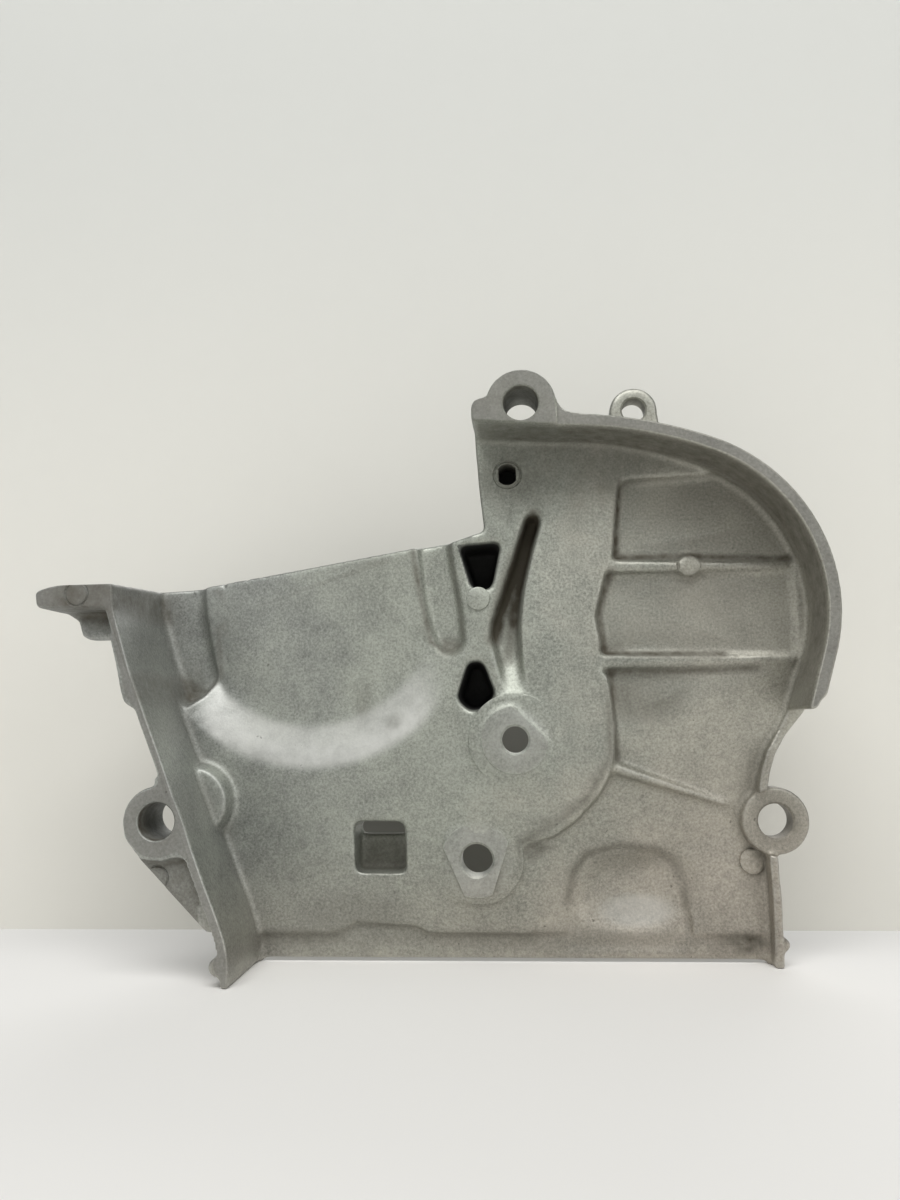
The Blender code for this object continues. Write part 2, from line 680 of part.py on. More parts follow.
combine(cover, "DIFFERENCE", room)

# Low strip at the lower right: everything in front of its rim goes
strip_trim = [
    (150.0, rim_end[1] + 1.9), (rim_end[0] + 0.8, rim_end[1] + 1.7), (rim_end[0] - 1.5, rim_end[1] - 0.1),
    (rim_end[0] - 2.8, rim_end[1] - 2.5), (rim_end[0] - 4.2, rim_end[1] - 3.1), (110.0, rim_end[1] - 3.1),
    (104.0, 60.0), (104.0, 40.0), (104.0, 20.0), (104.0, -14.0),
    (150.0, -14.0), (150.0, 20.0), (150.0, 40.0), (150.0, 60.0),
]
combine(cover, "DIFFERENCE", loft("strip_trim", [ring(strip_trim, -8.0), ring(strip_trim, strip_rim)]))
band = [
    (-64.6, -8.0), (-64.6, BAND_H), (-40.2, BAND_H), (-33.8, BAND_H + 1.4), (-29.8, BAND_H + 3.8),
    (-7.6, BAND_H + 2.6), (-3.4, BAND_H + 0.4), (113.4, BAND_H - 0.6), (113.4, -8.0),
]
combine(cover, "DIFFERENCE", prism("band", band, 12.0, BAND_DEPTH))

# Round boss against the left wall
boss_rings = [
    ring(circle(WALL_BOSS, WALL_BOSS_R - 2.6), WALL_BOSS_DEPTH),
    ring(circle(WALL_BOSS, WALL_BOSS_R - 1.8), WALL_BOSS_DEPTH + 0.8),
    ring(circle(WALL_BOSS, WALL_BOSS_R), PLATE_DEPTH + 1.0),
]
wall_boss = loft("wall_boss", boss_rings)
inside = [(p[0] - 0.8, p[1]) for p in wall_line if 20.0 < p[1] < 100.0]
keep = inside + [(-60.0, 90.0), (-60.0, 22.0)]
combine(wall_boss, "INTERSECT", prism("wall_boss_side", keep, 10.0, BEHIND - 10.0))
combine(cover, "UNION", wall_boss)

# Right ear, which takes the place of the strip there, and side knob
combine(cover, "DIFFERENCE", disc("right_ear_face", RIGHT_EAR, RIGHT_EAR_R - 0.3, AHEAD, RIGHT_EAR_DEPTH + 0.8))
combine(cover, "UNION", disc("right_ear", RIGHT_EAR, RIGHT_EAR_R, RIGHT_EAR_DEPTH, RIGHT_EAR_DEPTH + RIGHT_EAR_T, 0.5))
combine(cover, "UNION", disc("side_knob", (118.2, 7.4), SIDE_KNOB_R, STRIP_FOOT + 0.3, FLOOR_LOW + 3.0, 0.4, steps=16))

# Ribs and gusset
rib_end = ARC_X + ARC_R - 5.0
combine(cover, "UNION", bar("rib_1", (56.0, RIB_1_Z + 0.4), (rib_end, RIB_1_Z - 1.5), RIB_TOP, RIB_END,
                            FLOOR_DEPTH + 2.0, RIB_W, RIB_W - 0.9))
combine(cover, "UNION", bar("rib_2", (54.0, RIB_2_Z + 0.7), (rib_end, RIB_2_Z - 0.9), RIB_TOP, RIB_END + 0.4,
                            FLOOR_DEPTH + 2.0, RIB_W, RIB_W - 0.7))
combine(cover, "UNION", bar("gusset", (56.0, 70.4), (103.0, 54.0), GUSSET_TOP, floor_front(103.0, 54.0) - 0.9,
                            lambda x, z: floor_front(x, z) + 2.0, GUSSET_W, 1.6))
combine(cover, "UNION", disc("rib_pad", (91.0, RIB_1_Z - 0.3), EJECTOR_R, RIB_TOP + 1.2, FLOOR_DEPTH + 2.0, 0.3, steps=24))

# Bosses and their flatted seats
combine(cover, "UNION", disc("upper_boss", UPPER_BOSS, UPPER_BOSS_R, UPPER_BOSS_DEPTH, PLATEAU_DEPTH + 2.6, 0.8, 0.3))
seat = flatted(UPPER_BOSS, UPPER_SEAT_R, [(UPPER_SEAT_TURN, UPPER_SEAT_FLAT)])
combine(cover, "UNION", prism("upper_seat", seat, UPPER_BOSS_DEPTH - SEAT_H, PLATEAU_DEPTH + 1.0, 0.3))


def lower_boss_face(x, z):
    # flush with the plate on the left, standing out at the lower right
    return LOWER_BOSS_DEPTH + 0.2 * max(0.0, LOWER_BOSS[0] - x) + 0.19 * max(0.0, LOWER_BOSS[1] - z)


def lower_boss_back(x, z):
    return max(plate_core(x, z), lower_boss_face(x, z) + 1.6)


combine(cover, "UNION", disc("lower_boss", LOWER_BOSS, LOWER_BOSS_R, lower_boss_face, lower_boss_back, 0.8))
seat = flatted(LOWER_BOSS, LOWER_SEAT_R, [(turn, LOWER_SEAT_FLAT) for turn in LOWER_SEAT_TURNS])
combine(cover, "UNION", prism("lower_seat", seat, LOWER_BOSS_DEPTH - SEAT_H, LOWER_BOSS_DEPTH + 2.2, 0.3))
combine(cover, "UNION", disc("key_ring", KEY_HOLE, KEY_RING_R, plate_front(*KEY_HOLE) - 0.5,
                             plate_front(*KEY_HOLE) + 2.0, 0.3, steps=28))

# Dish, channels, pockets and window from the front
dish = loft("dish", [dish_ring(DISH_R + DISH_FLANK * 1.6, 0.0), dish_ring(DISH_R, 0.0)])
clear = [(p[0] + 0.0, p[1]) for p in wall_line] + [(14.5, 160.0), (14.5, -12.0)]
combine(dish, "INTERSECT", prism("dish_side", clear, 2.0, BEHIND - 8.0))
combine(cover, "DIFFERENCE", dish)

channel = loft("left_channel", [
    ring(grown(left_channel, 0.4), PLATE_DEPTH - 3.0),
    ring([((a[0] + 3 * b[0]) / 4, (a[1] + 3 * b[1]) / 4) for a, b in zip(left_channel_floor, left_channel)],
         PLATE_DEPTH + 4.0),
    ring([((a[0] + b[0]) / 2, (a[1] + b[1]) / 2) for a, b in zip(left_channel_floor, left_channel)],
         LEFT_CHANNEL_DEPTH - 1.6),
    ring(left_channel_floor, LEFT_CHANNEL_DEPTH),
])
combine(channel, "INTERSECT", prism("left_channel_side", clear, 4.0, BEHIND - 6.0))
combine(cover, "DIFFERENCE", channel)
channel = loft("right_channel", [
    ring(grown(right_channel, 1.2), lambda x, z: right_channel_depth(x, z) - 8.0),
    ring(grown(right_channel, 0.2), lambda x, z: right_channel_depth(x, z) - 6.0),
    ring([((a[0] + b[0]) / 2, (a[1] + b[1]) / 2) for a, b in zip(right_channel_floor, right_channel)],
         lambda x, z: right_channel_depth(x, z) - 1.4),
    ring(right_channel_floor, right_channel_depth),
])
combine(cover, "DIFFERENCE", channel)

for name, outline, depth in (
    ("upper_pocket", upper_pocket, STRUT_POCKET_DEPTH),
    ("lower_pocket", lower_pocket, STRUT_POCKET_DEPTH),
    ("groove", groove, groove_depth),
):
    tool = loft(name, [
        ring(grown(outline, 1.2), PLATEAU_DEPTH - 4.0),
        ring(grown(outline, 0.6), PLATEAU_DEPTH - 1.0),
        ring(grown(outline, 0.0), PLATEAU_DEPTH + 0.8),
        ring(grown(outline, -1.2), depth),
    ])
    combine(cover, "DIFFERENCE", tool)

combine(cover, "DIFFERENCE", loft("window", [
    ring(grown(window, 0.3), PLATEAU_DEPTH - 4.0),
    ring(grown(window, -0.3), WINDOW_DEPTH),
]))
slot_low = WINDOW_Z + WINDOW_H / 2 - SLOT_H
slot = [
    (WINDOW_X - WINDOW_W / 2 + 0.8, slot_low), (WINDOW_X + WINDOW_W / 2 - 0.8, slot_low),
    (WINDOW_X + WINDOW_W / 2 - 0.8, slot_low + SLOT_H - 0.8), (WINDOW_X - WINDOW_W / 2 + 0.8, slot_low + SLOT_H - 0.8),
]
combine(cover, "DIFFERENCE", prism("slot", slot, WINDOW_DEPTH - 3.0, WINDOW_DEPTH + 8.0))
combine(cover, "DIFFERENCE", bowl("hollow", 0.0, 0.0))

# Holes
combine(cover, "DIFFERENCE", bore("top_ear_hole", TOP_EAR, TOP_EAR_BORE, -EAR_PROUD, TOP_EAR_L - EAR_PROUD))
combine(cover, "DIFFERENCE", bore("left_ear_hole", LEFT_EAR, LEFT_EAR_BORE, 0.0, LEFT_EAR_L))
combine(cover, "DIFFERENCE", bore("right_ear_hole", RIGHT_EAR, RIGHT_EAR_BORE, RIGHT_EAR_DEPTH,
                                  RIGHT_EAR_DEPTH + RIGHT_EAR_T))
combine(cover, "DIFFERENCE", bore("rear_ear_hole", REAR_EAR, REAR_EAR_BORE, REAR_EAR_DEPTH,
                                  REAR_EAR_DEPTH + REAR_EAR_T))
upper_back = PLATEAU_DEPTH + PLATE_T + 8.0
combine(cover, "DIFFERENCE", bore("upper_boss_hole", UPPER_BOSS, UPPER_BORE, UPPER_BOSS_DEPTH - SEAT_H, upper_back))
combine(cover, "DIFFERENCE", bore("lower_boss_hole", LOWER_BOSS, LOWER_BORE, LOWER_BOSS_DEPTH - SEAT_H,
                                  LOWER_BOSS_DEPTH + PLATE_T + 12.0))
keyed = flatted(KEY_HOLE, KEY_HOLE_R, [(0.0, KEY_HOLE_FLAT), (180.0, KEY_HOLE_FLAT)], 28)
combine(cover, "DIFFERENCE", prism("key_hole", keyed, PLATEAU_DEPTH - 6.0, KEY_HOLE_DEPTH))

# Cast aluminium
metal = bpy.data.materials.new("cast_aluminium")
metal.use_nodes = True
skin = metal.node_tree.nodes["Principled BSDF"]
skin.inputs["Base Color"].default_value = (0.42, 0.42, 0.40, 1.0)
skin.inputs["Metallic"].default_value = 0.85
skin.inputs["Roughness"].default_value = 0.52
cover.data.materials.append(metal)

for tool in cutters.objects:
    tool.hide_render = True
    tool.display_type = "WIRE"
cutters.hide_render = True
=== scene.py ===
import math

import bmesh
import bpy
import numpy as np
from mathutils import Matrix, Vector, kdtree
from mathutils.bvhtree import BVHTree


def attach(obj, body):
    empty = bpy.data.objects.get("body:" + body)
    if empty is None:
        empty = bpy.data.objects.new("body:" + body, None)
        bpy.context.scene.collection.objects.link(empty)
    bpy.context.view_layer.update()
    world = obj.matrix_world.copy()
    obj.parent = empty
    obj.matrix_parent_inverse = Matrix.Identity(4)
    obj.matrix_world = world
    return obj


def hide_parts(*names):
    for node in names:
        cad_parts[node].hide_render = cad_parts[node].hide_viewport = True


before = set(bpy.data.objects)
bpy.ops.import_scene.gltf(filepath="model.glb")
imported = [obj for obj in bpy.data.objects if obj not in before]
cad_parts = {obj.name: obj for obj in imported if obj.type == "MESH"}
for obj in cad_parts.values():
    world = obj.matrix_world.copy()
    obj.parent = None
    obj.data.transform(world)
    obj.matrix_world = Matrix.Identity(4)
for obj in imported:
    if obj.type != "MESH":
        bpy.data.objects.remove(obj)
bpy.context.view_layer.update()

# ---------------------------------------------------------------------------
# The casting: one pressure die casting in aluminium, drawn from the die toward -Y.
# It starts from the solid form of the cover, and the hollow at the foot of its floor
# is opened into the band below. Sizes and places in this file are millimetres.
MM = 0.001
WELD = 0.002

# outline (x, z) of the hollow's opening, and the rings that its scoop is drawn through
ARCH = [(44.8, 4.0), (44.8, 14.0), (45.8, 21.6), (47.8, 31.4), (52.8, 38.0), (64.8, 40.6),
        (76.9, 38.8), (83.4, 34.2), (86.5, 26.7), (87.1, 19.9), (88.2, 13.8), (88.2, 4.0)]
ARCH_MIDDLE = (66.5, 20.0)
SCOOP_FRONT = 2.0
SCOOP_LIP = 1.5
SCOOP_SHARES = (1.08, 1.02, 0.94)
# the scoop's floor: its y at one place (x, z), its lean along x and down z, and the most it may be over the band
SCOOP_PLACE, SCOOP_Y, SCOOP_LEAN = (50.0, 38.0), 9.4, (0.09, 0.14)
BAND_TOP, BAND_Y, BAND_LEAN = 8.0, 13.4, 0.2


def body_of(name, form):
    """An object of an edit mesh, with its faces turned outward."""
    bmesh.ops.recalc_face_normals(form, faces=form.faces[:])
    mesh = bpy.data.meshes.new(name)
    form.to_mesh(mesh)
    form.free()
    body = bpy.data.objects.new(name, mesh)
    bpy.context.scene.collection.objects.link(body)
    return body


def lofted(name, rings, hoop=False):
    """Closed body through outlines of equal length, or a hoop; rings are (y or a function giving it, outline)."""
    form = bmesh.new()
    loops = []
    for y, outline in rings:
        loops.append([form.verts.new((x * MM, (y(x, z) if callable(y) else y) * MM, z * MM)) for x, z in outline])
    pairs = list(zip(loops, loops[1:]))
    if hoop:
        pairs.append((loops[-1], loops[0]))
    else:
        form.faces.new(loops[0])
        form.faces.new(loops[-1])
    for near, far in pairs:
        for i in range(len(near)):
            j = (i + 1) % len(near)
            form.faces.new((near[i], near[j], far[j], far[i]))
    return body_of(name, form)


def settle(body):
    """Applies the modifiers of a body."""
    graph = bpy.context.evaluated_depsgraph_get()
    mesh = bpy.data.meshes.new_from_object(body.evaluated_get(graph))
    body.modifiers.clear()
    body.data = mesh


def work(body, operation, tools):
    """Cuts tools out of a body or joins them to it."""
    for tool in tools:
        step = body.modifiers.new(tool.name, "BOOLEAN")
        step.operation = operation
        step.solver = "MANIFOLD"
        step.object = tool
    settle(body)
    for tool in tools:
        bpy.data.objects.remove(tool)


def about(outline, middle, share):
    """An outline scaled about a point."""
    return [(middle[0] + (x - middle[0]) * share, middle[1] + (z - middle[1]) * share) for x, z in outline]


def scoop_floor(x, z):
    """The scoop's floor leans with the plate, and stays in front of the thin band below."""
    leaning = SCOOP_Y + SCOOP_LEAN[0] * (x - SCOOP_PLACE[0]) + SCOOP_LEAN[1] * (SCOOP_PLACE[1] - z)
    return min(leaning, BAND_Y + BAND_LEAN * max(0.0, z - BAND_TOP))


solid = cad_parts["timing_cover"]
casting = bpy.data.objects.new("timing_cover_casting", solid.data.copy())
bpy.context.scene.collection.objects.link(casting)
form = bmesh.new()
form.from_mesh(casting.data)
bmesh.ops.remove_doubles(form, verts=form.verts[:], dist=WELD * MM)
form.to_mesh(casting.data)
form.free()

scoop_depths = (SCOOP_FRONT, lambda x, z: scoop_floor(x, z) - SCOOP_LIP, scoop_floor)
scoop_outlines = [about(ARCH, ARCH_MIDDLE, share) for share in SCOOP_SHARES]
work(casting, "DIFFERENCE", [lofted("scoop", list(zip(scoop_depths, scoop_outlines)))])

# ---------------------------------------------------------------------------
# Ribs and closed holes: the two ribs and the gusset were cast nearly as far as the
# rim wall, whose foot stands proud beside the pocket. Every hole is plugged for now,
# so that it gets a crisp edge when it is drilled again through the finished skin.

# centre x, centre z, diameter, front face y, back face y, how far the drill runs past the back
BORES = {
    "top_ear": (33.8, 191.26, 12.0, -25.5, -5.0, 7.0),
    "left_ear": (-90.3, 53.2, 12.5, -24.5, -2.1, 0.4),
    "right_ear": (117.8, 48.8, 11.8, 6.2, 15.3, 1.2),
    "rear_ear": (73.4, 192.56, 8.1, -8.5, -1.5, 1.2),
    "upper_boss": (28.9, 78.0, 9.2, -5.8, 0.5, 2.6),
    "lower_boss": (14.6, 36.8, 11.0, 0.3, 10.5, 1.2),
    "keyed": (28.3, 171.96, 7.8, -4.2, 7.4, -1.2),
}
PLUG_MORE = 1.0
PLUG_INSET = 0.02

# start (x, z), end (x, z), then top y, foot y and width at the start and at the end
RIBS = (
    ((86.0, 137.4), (125.4, 137.0), (-3.9, 2.0, 3.4), (-0.9, 2.0, 2.8)),
    ((58.0, 105.0), (126.0, 104.2), (-4.4, 2.0, 4.4), (-0.8, 2.0, 3.2)),
    ((60.0, 69.0), (101.4, 54.8), (-3.1, 4.0, 3.8), (7.4, 12.0, 2.4)),
)
RIB_TOP_IN = 0.5
RIB_FOOT_OUT = 0.4
WALL_FOOT = [(126.6, 104.5), (129.3, 104.5), (131.6, 112.0), (132.2, 121.5), (131.6, 131.0),
             (129.6, 138.0), (126.6, 138.0)]
WALL_FOOT_DEPTHS = (-1.2, 1.6)


def round_outline(x, z, radius, flats=(), steps=72):
    """Round outline, cut by straight flats given as (direction in degrees, distance)."""
    points = []
    for i in range(steps):
        a = 2.0 * math.pi * i / steps
        reach = radius
        for direction, distance in flats:
            c = math.cos(a - math.radians(direction))
            if c > 0.0:
                reach = min(reach, distance / c)
        points.append((x + reach * math.cos(a), z + reach * math.sin(a)))
    return points


def bar(form, start, end, start_size, end_size):
    """A rib with leaning sides between (x, z) places; sizes are top y, foot y and width."""
    sx, sz, ex, ez = *start, *end
    length = math.hypot(ex - sx, ez - sz)
    nx, nz = -(ez - sz) / length, (ex - sx) / length
    corners = []
    for (x, z), (top, foot, wide) in ((start, start_size), (end, end_size)):
        for y, half in ((top, wide / 2.0 - RIB_TOP_IN), (foot, wide / 2.0 + RIB_FOOT_OUT)):
            for hand in (-1.0, 1.0):
                corners.append(form.verts.new(((x + nx * half * hand) * MM, y * MM, (z + nz * half * hand) * MM)))
    a, b, c, d, e, f, g, h = corners
    for side in ((a, b, d, c), (e, g, h, f), (a, e, f, b), (c, d, h, g), (a, c, g, e), (b, f, h, d)):
        form.faces.new(side)


def take_in(body, shells):
    """Adds closed shells to a body as they are; the skin melts them into it."""
    form = bmesh.new()
    form.from_mesh(body.data)
    for shell in shells:
        form.from_mesh(shell.data)
        bpy.data.objects.remove(shell)
    form.to_mesh(body.data)
    form.free()


shells = []
for x, z, diameter, front, back, beyond in BORES.values():
    wide = round_outline(x, z, diameter / 2.0 + PLUG_MORE)
    shells.append(lofted("plug", [(front + PLUG_INSET, wide), (back - PLUG_INSET, wide)]))
form = bmesh.new()
for rib in RIBS:
    bar(form, *rib)
shells.append(body_of("ribs", form))
shells.append(lofted("wall_foot", [(y, WALL_FOOT) for y in WALL_FOOT_DEPTHS]))
take_in(casting, shells)

# ---------------------------------------------------------------------------
# The cast skin: metal leaves a die with soft corners, wide in the valleys where it
# was filleted and tight on the edges. A fine even mesh is laid over the form and
# evened out by more or fewer rounds from place to place.
SKIN_STEP = 0.62
SPREAD_SHARE = 0.6
EDGE_ROUNDS = 5
INNER_ROUNDS = 13
VALLEY_ROUNDS = 18
SHEET_ROUNDS = 60
SOFT_ROUNDS = 130
BEND_ROUNDS = 6

# where a place counts as a valley or a corner, by how far evening moves it
FIND_ROUNDS = 5
VALLEY_FULL = 0.2
VALLEY_WIDEN = 2.0
CORNER_BEND = 0.045
CORNER_ROUNDS = 24
CORNER_LIMIT = 0.06

# the room between the walls has softer edges than the outside: its y, its x about its middle, its left end
ROOM_DEPTH = (-15.0, -9.0)
ROOM_MIDDLE = 20.0
ROOM_SIDES = (86.0, 92.0)
ROOM_LEFT = (-70.0, -60.0)

# broad soft places: the flank of the round dish, and the side of the upper boss that runs out into the plate
DISH = (-45.8, 134.0)
FLANK_RADII = (26.0, 34.0, 64.0, 72.0)
FLANK_TOP = (112.0, 122.0)
FLANK_SIDES = (-84.0, -76.0, -4.0, 2.0)
RUN_OUT_RADII = (13.4, 14.6, 19.0, 22.0)
RUN_OUT_START = (-6.0, 2.0)
# only faces turned to the front are softened: gain and start of their share
FACING_GAIN, FACING_START = 3.0, 0.6

# knocks along the thin upper edge of the plate: x, z, radius, depth
KNOCKS = (
    (-81.4, 137.6, 1.5, 0.55), (-72.0, 139.6, 1.1, 0.35), (-66.5, 141.0, 1.7, 0.45), (-58.0, 142.9, 0.9, 0.3),
    (-44.5, 146.0, 1.2, 0.35), (-33.0, 148.6, 1.6, 0.4), (-22.6, 151.0, 1.3, 0.5),
)
TRIANGLES = 176000


def points_of(mesh):
    flat = np.empty(len(mesh.vertices) * 3, np.float32)
    mesh.vertices.foreach_get("co", flat)
    return flat.reshape(-1, 3).astype(float) / MM


def set_points(mesh, points):
    mesh.vertices.foreach_set("co", (points * MM).astype(np.float32).ravel())
    mesh.update()


def normals_of(mesh):
    flat = np.empty(len(mesh.vertices) * 3, np.float32)
    mesh.vertex_normals.foreach_get("vector", flat)
    return flat.reshape(-1, 3).astype(float)


def edges_of(mesh):
    flat = np.empty(len(mesh.edges) * 2, np.int32)
    mesh.edges.foreach_get("vertices", flat)
    return flat.reshape(-1, 2)


def spread(values, edges, rounds, link=None):
    """Values evened out over the surface; link is the share that each edge lets through."""
    a, b = edges[:, 0].copy(), edges[:, 1].copy()
    flow = SPREAD_SHARE / np.bincount(edges.ravel(), minlength=len(values))
    columns = values.reshape(len(values), -1).T.copy()
    for _ in range(rounds):
        for k, column in enumerate(columns):
            step = column[b] - column[a]
            if link is not None:
                step *= link
            gain = np.bincount(a, step, len(column)) - np.bincount(b, step, len(column))
            columns[k] = column + flow * gain
    return columns.T.reshape(values.shape).copy()


def ramp(values, low, high):
    """0 up to low, 1 from high, and a soft step between them."""
    share = np.clip((values - low) / (high - low), 0.0, 1.0)
    return share * share * (3.0 - 2.0 * share)


def band(values, rise_low, rise_high, fall_low, fall_high):
    """A soft step up and a soft step down."""
    return ramp(values, rise_low, rise_high) * (1.0 - ramp(values, fall_low, fall_high))


def away_from(place, points):
    return np.hypot(points[:, 0] - place[0], points[:, 2] - place[1])


skin = casting.modifiers.new("skin", "REMESH")
skin.mode = "VOXEL"
skin.voxel_size = SKIN_STEP * MM
settle(casting)
mesh = casting.data
points, edges = points_of(mesh), edges_of(mesh)

# valleys are where the evened surface stands outside the metal
outward = np.einsum("ij,ij->i", spread(points, edges, FIND_ROUNDS) - points, normals_of(mesh))
valley = np.clip(outward / VALLEY_FULL, 0.0, 1.0)
valley = np.clip(spread(valley, edges, FIND_ROUNDS) * VALLEY_WIDEN, 0.0, 1.0)[:, None]
room = ramp(points[:, 1], *ROOM_DEPTH) * (1.0 - ramp(np.abs(points[:, 0] - ROOM_MIDDLE), *ROOM_SIDES))
room = (room * ramp(points[:, 0], *ROOM_LEFT))[:, None]
rounded = spread(points, edges, EDGE_ROUNDS) * (1.0 - room) + spread(points, edges, INNER_ROUNDS) * room
points = rounded * (1.0 - valley) + spread(points, edges, VALLEY_ROUNDS) * valley

# calm sheets, far from corners of either kind
corner = (np.abs(outward) > CORNER_BEND).astype(float)
calm = np.clip(1.0 - spread(corner, edges, CORNER_ROUNDS) / CORNER_LIMIT, 0.0, 1.0)
calm_link = np.minimum(calm[edges[:, 0]], calm[edges[:, 1]])
points += (spread(points, edges, SHEET_ROUNDS, calm_link) - points) * calm[:, None]

set_points(mesh, points)
facing = np.clip(-normals_of(mesh)[:, 1] * FACING_GAIN - FACING_START, 0.0, 1.0)
flank = band(away_from(DISH, points), *FLANK_RADII) * (1.0 - ramp(points[:, 2], *FLANK_TOP))
flank *= band(points[:, 0], *FLANK_SIDES)
boss_x, boss_z = BORES["upper_boss"][:2]
leaving = ((points[:, 0] - boss_x) - (points[:, 2] - boss_z)) / math.sqrt(2.0)
run_out = band(away_from((boss_x, boss_z), points), *RUN_OUT_RADII) * ramp(leaving, *RUN_OUT_START)
soft_share = np.maximum(flank, run_out) * facing
points += (spread(points, edges, SOFT_ROUNDS) - points) * soft_share[:, None]

set_points(mesh, points)
normals = normals_of(mesh)
for x, z, radius, depth in KNOCKS:
    near = np.clip(1.0 - away_from((x, z), points) / radius, 0.0, 1.0)
    points -= normals * (depth * near * near * (3.0 - 2.0 * near))[:, None]
set_points(mesh, points)

# how each place bends, kept for the finish: above 0 in valleys, below 0 on edges
fine_bend = np.einsum("ij,ij->i", spread(points, edges, BEND_ROUNDS) - points, normals)
bend_places = kdtree.KDTree(len(points))
for i, spot in enumerate(points.tolist()):
    bend_places.insert(spot, i)
bend_places.balance()

lighter = casting.modifiers.new("lighter", "DECIMATE")
lighter.ratio = min(1.0, TRIANGLES / (2.0 * len(mesh.polygons)))
settle(casting)

# ---------------------------------------------------------------------------
# Machined places: the joint faces of the rim are milled flat, the two boss seats are
# faced and cut by straight flats, each on its cast disc, and the bores are drilled
# with their mouths broken. The keyed hole is blind, with two flat sides.
RIM_Y = -24.5
FACED = 0.25
EAR_STANDS_OUT = 1.0
EAR_LEFT, EAR_RIGHT = 12.0, 46.0
CUT_SIDE, CUT_FRONT, CUT_BELOW, CUT_ABOVE = 160.0, -60.0, -20.0, 230.0

UPPER_BOSS, LOWER_BOSS, KEYED = (BORES[name][:2] for name in ("upper_boss", "lower_boss", "keyed"))
UPPER_DISC_R, LOWER_DISC_R, DISC_EDGE = 16.2, 16.3, 0.45
UPPER_DISC_DEEP, LOWER_DISC_DEEP = 1.6, 1.9
# a disc's face lies at this y, then sinks into the plate by these shares of the way
UPPER_DISC_Y, UPPER_SINK, UPPER_SINK_START = -4.6, 0.16, -4.0
LOWER_DISC_Y, LOWER_SINK_LEFT, LOWER_SINK_DOWN = 1.5, 0.32, 0.24
UPPER_SEAT_R, LOWER_SEAT_R, SEAT_EDGE, SEAT_DEEP = 11.8, 12.8, 0.4, 2.2
UPPER_FLATS = ((45.0, 8.0),)
LOWER_FLATS = ((204.0, 9.0), (-19.0, 8.8))
KEYED_RING_R, KEYED_RING_Y, KEYED_RING_DEEP, KEYED_RING_EDGE = 4.9, -4.25, 2.0, 0.25

# radius and distance of the two flats, at the mouth and at the blind end
KEYED_MOUTH, KEYED_END = (3.9, 3.2), (3.7, 3.0)
KEYED_START = 4.0
# how a bore's mouth opens: y from the front face, and how much wider the radius is
MOUTH = ((-1.0, 1.7), (0.5, 0.2), (0.7, 0.0))


def cuboid(name, low, high):
    form = bmesh.new()
    made = bmesh.ops.create_cube(form, size=1.0)
    for v in made["verts"]:
        v.co = Vector([(a if c < 0.0 else b) * MM for a, b, c in zip(low, high, v.co)])
    return body_of(name, form)


def raised(name, outline_at, face, deep, edge):
    """A flat-topped pad with a broken edge. outline_at gives its outline for an inset."""
    def lower(by):
        return (lambda x, z: face(x, z) + by) if callable(face) else face + by
    return lofted(name, [(lower(0.0), outline_at(edge)), (lower(edge * 0.3), outline_at(edge * 0.3)),
                         (lower(edge), outline_at(0.0)), (lower(deep), outline_at(0.0))])


def disc(place, radius, flats=()):
    """Outline of a round pad with flats, for any inset."""
    return lambda inset: round_outline(*place, radius - inset, [(turn, far - inset) for turn, far in flats])


def upper_disc_face(x, z):
    """The disc sinks into the plate toward the lower right."""
    way = (x - UPPER_BOSS[0]) - (z - UPPER_BOSS[1]) - UPPER_SINK_START
    return UPPER_DISC_Y + UPPER_SINK * max(0.0, way)


def lower_disc_face(x, z):
    """The disc sinks into the plate toward the lower left."""
    left, down = max(0.0, LOWER_BOSS[0] - x), max(0.0, LOWER_BOSS[1] - z)
    return LOWER_DISC_Y + LOWER_SINK_LEFT * left + LOWER_SINK_DOWN * down


def milling(name, left, right, face):
    """The space that a face mill clears in front of a joint face."""
    return cuboid(name, (left, CUT_FRONT, CUT_BELOW), (right, face + FACED, CUT_ABOVE))


work(casting, "DIFFERENCE", [
    milling("rim_left_face", -CUT_SIDE, EAR_LEFT, RIM_Y),
    milling("rim_right_face", EAR_RIGHT, CUT_SIDE, RIM_Y),
    milling("top_ear_front", EAR_LEFT, EAR_RIGHT, RIM_Y - EAR_STANDS_OUT),
])
upper_face, lower_face = BORES["upper_boss"][3], BORES["lower_boss"][3]
work(casting, "UNION", [
    raised("upper_boss_disc", disc(UPPER_BOSS, UPPER_DISC_R), upper_disc_face, UPPER_DISC_DEEP, DISC_EDGE),
    raised("lower_boss_disc", disc(LOWER_BOSS, LOWER_DISC_R), lower_disc_face, LOWER_DISC_DEEP, DISC_EDGE),
    raised("upper_boss_seat", disc(UPPER_BOSS, UPPER_SEAT_R, UPPER_FLATS), upper_face, SEAT_DEEP, SEAT_EDGE),
    raised("lower_boss_seat", disc(LOWER_BOSS, LOWER_SEAT_R, LOWER_FLATS), lower_face, SEAT_DEEP, SEAT_EDGE),
    raised("keyed_hole_ring", disc(KEYED, KEYED_RING_R), KEYED_RING_Y, KEYED_RING_DEEP, KEYED_RING_EDGE),
])

drills = []
for name, (x, z, diameter, front, back, beyond) in BORES.items():
    if name == "keyed":
        rings = [(y, round_outline(x, z, radius, [(0.0, flat), (180.0, flat)]))
                 for y, (radius, flat) in ((front - KEYED_START, KEYED_MOUTH), (back + beyond, KEYED_END))]
    else:
        rings = [(front + y, round_outline(x, z, diameter / 2.0 + wider)) for y, wider in MOUTH]
        rings.append((back + beyond, round_outline(x, z, diameter / 2.0)))
    drills.append(lofted(name + "_bore", rings))
work(casting, "DIFFERENCE", drills)

# ---------------------------------------------------------------------------
# Ejector marks: round prints that the die's pins leave in the skin, some standing
# a little proud of it and all ringed by a fine groove.

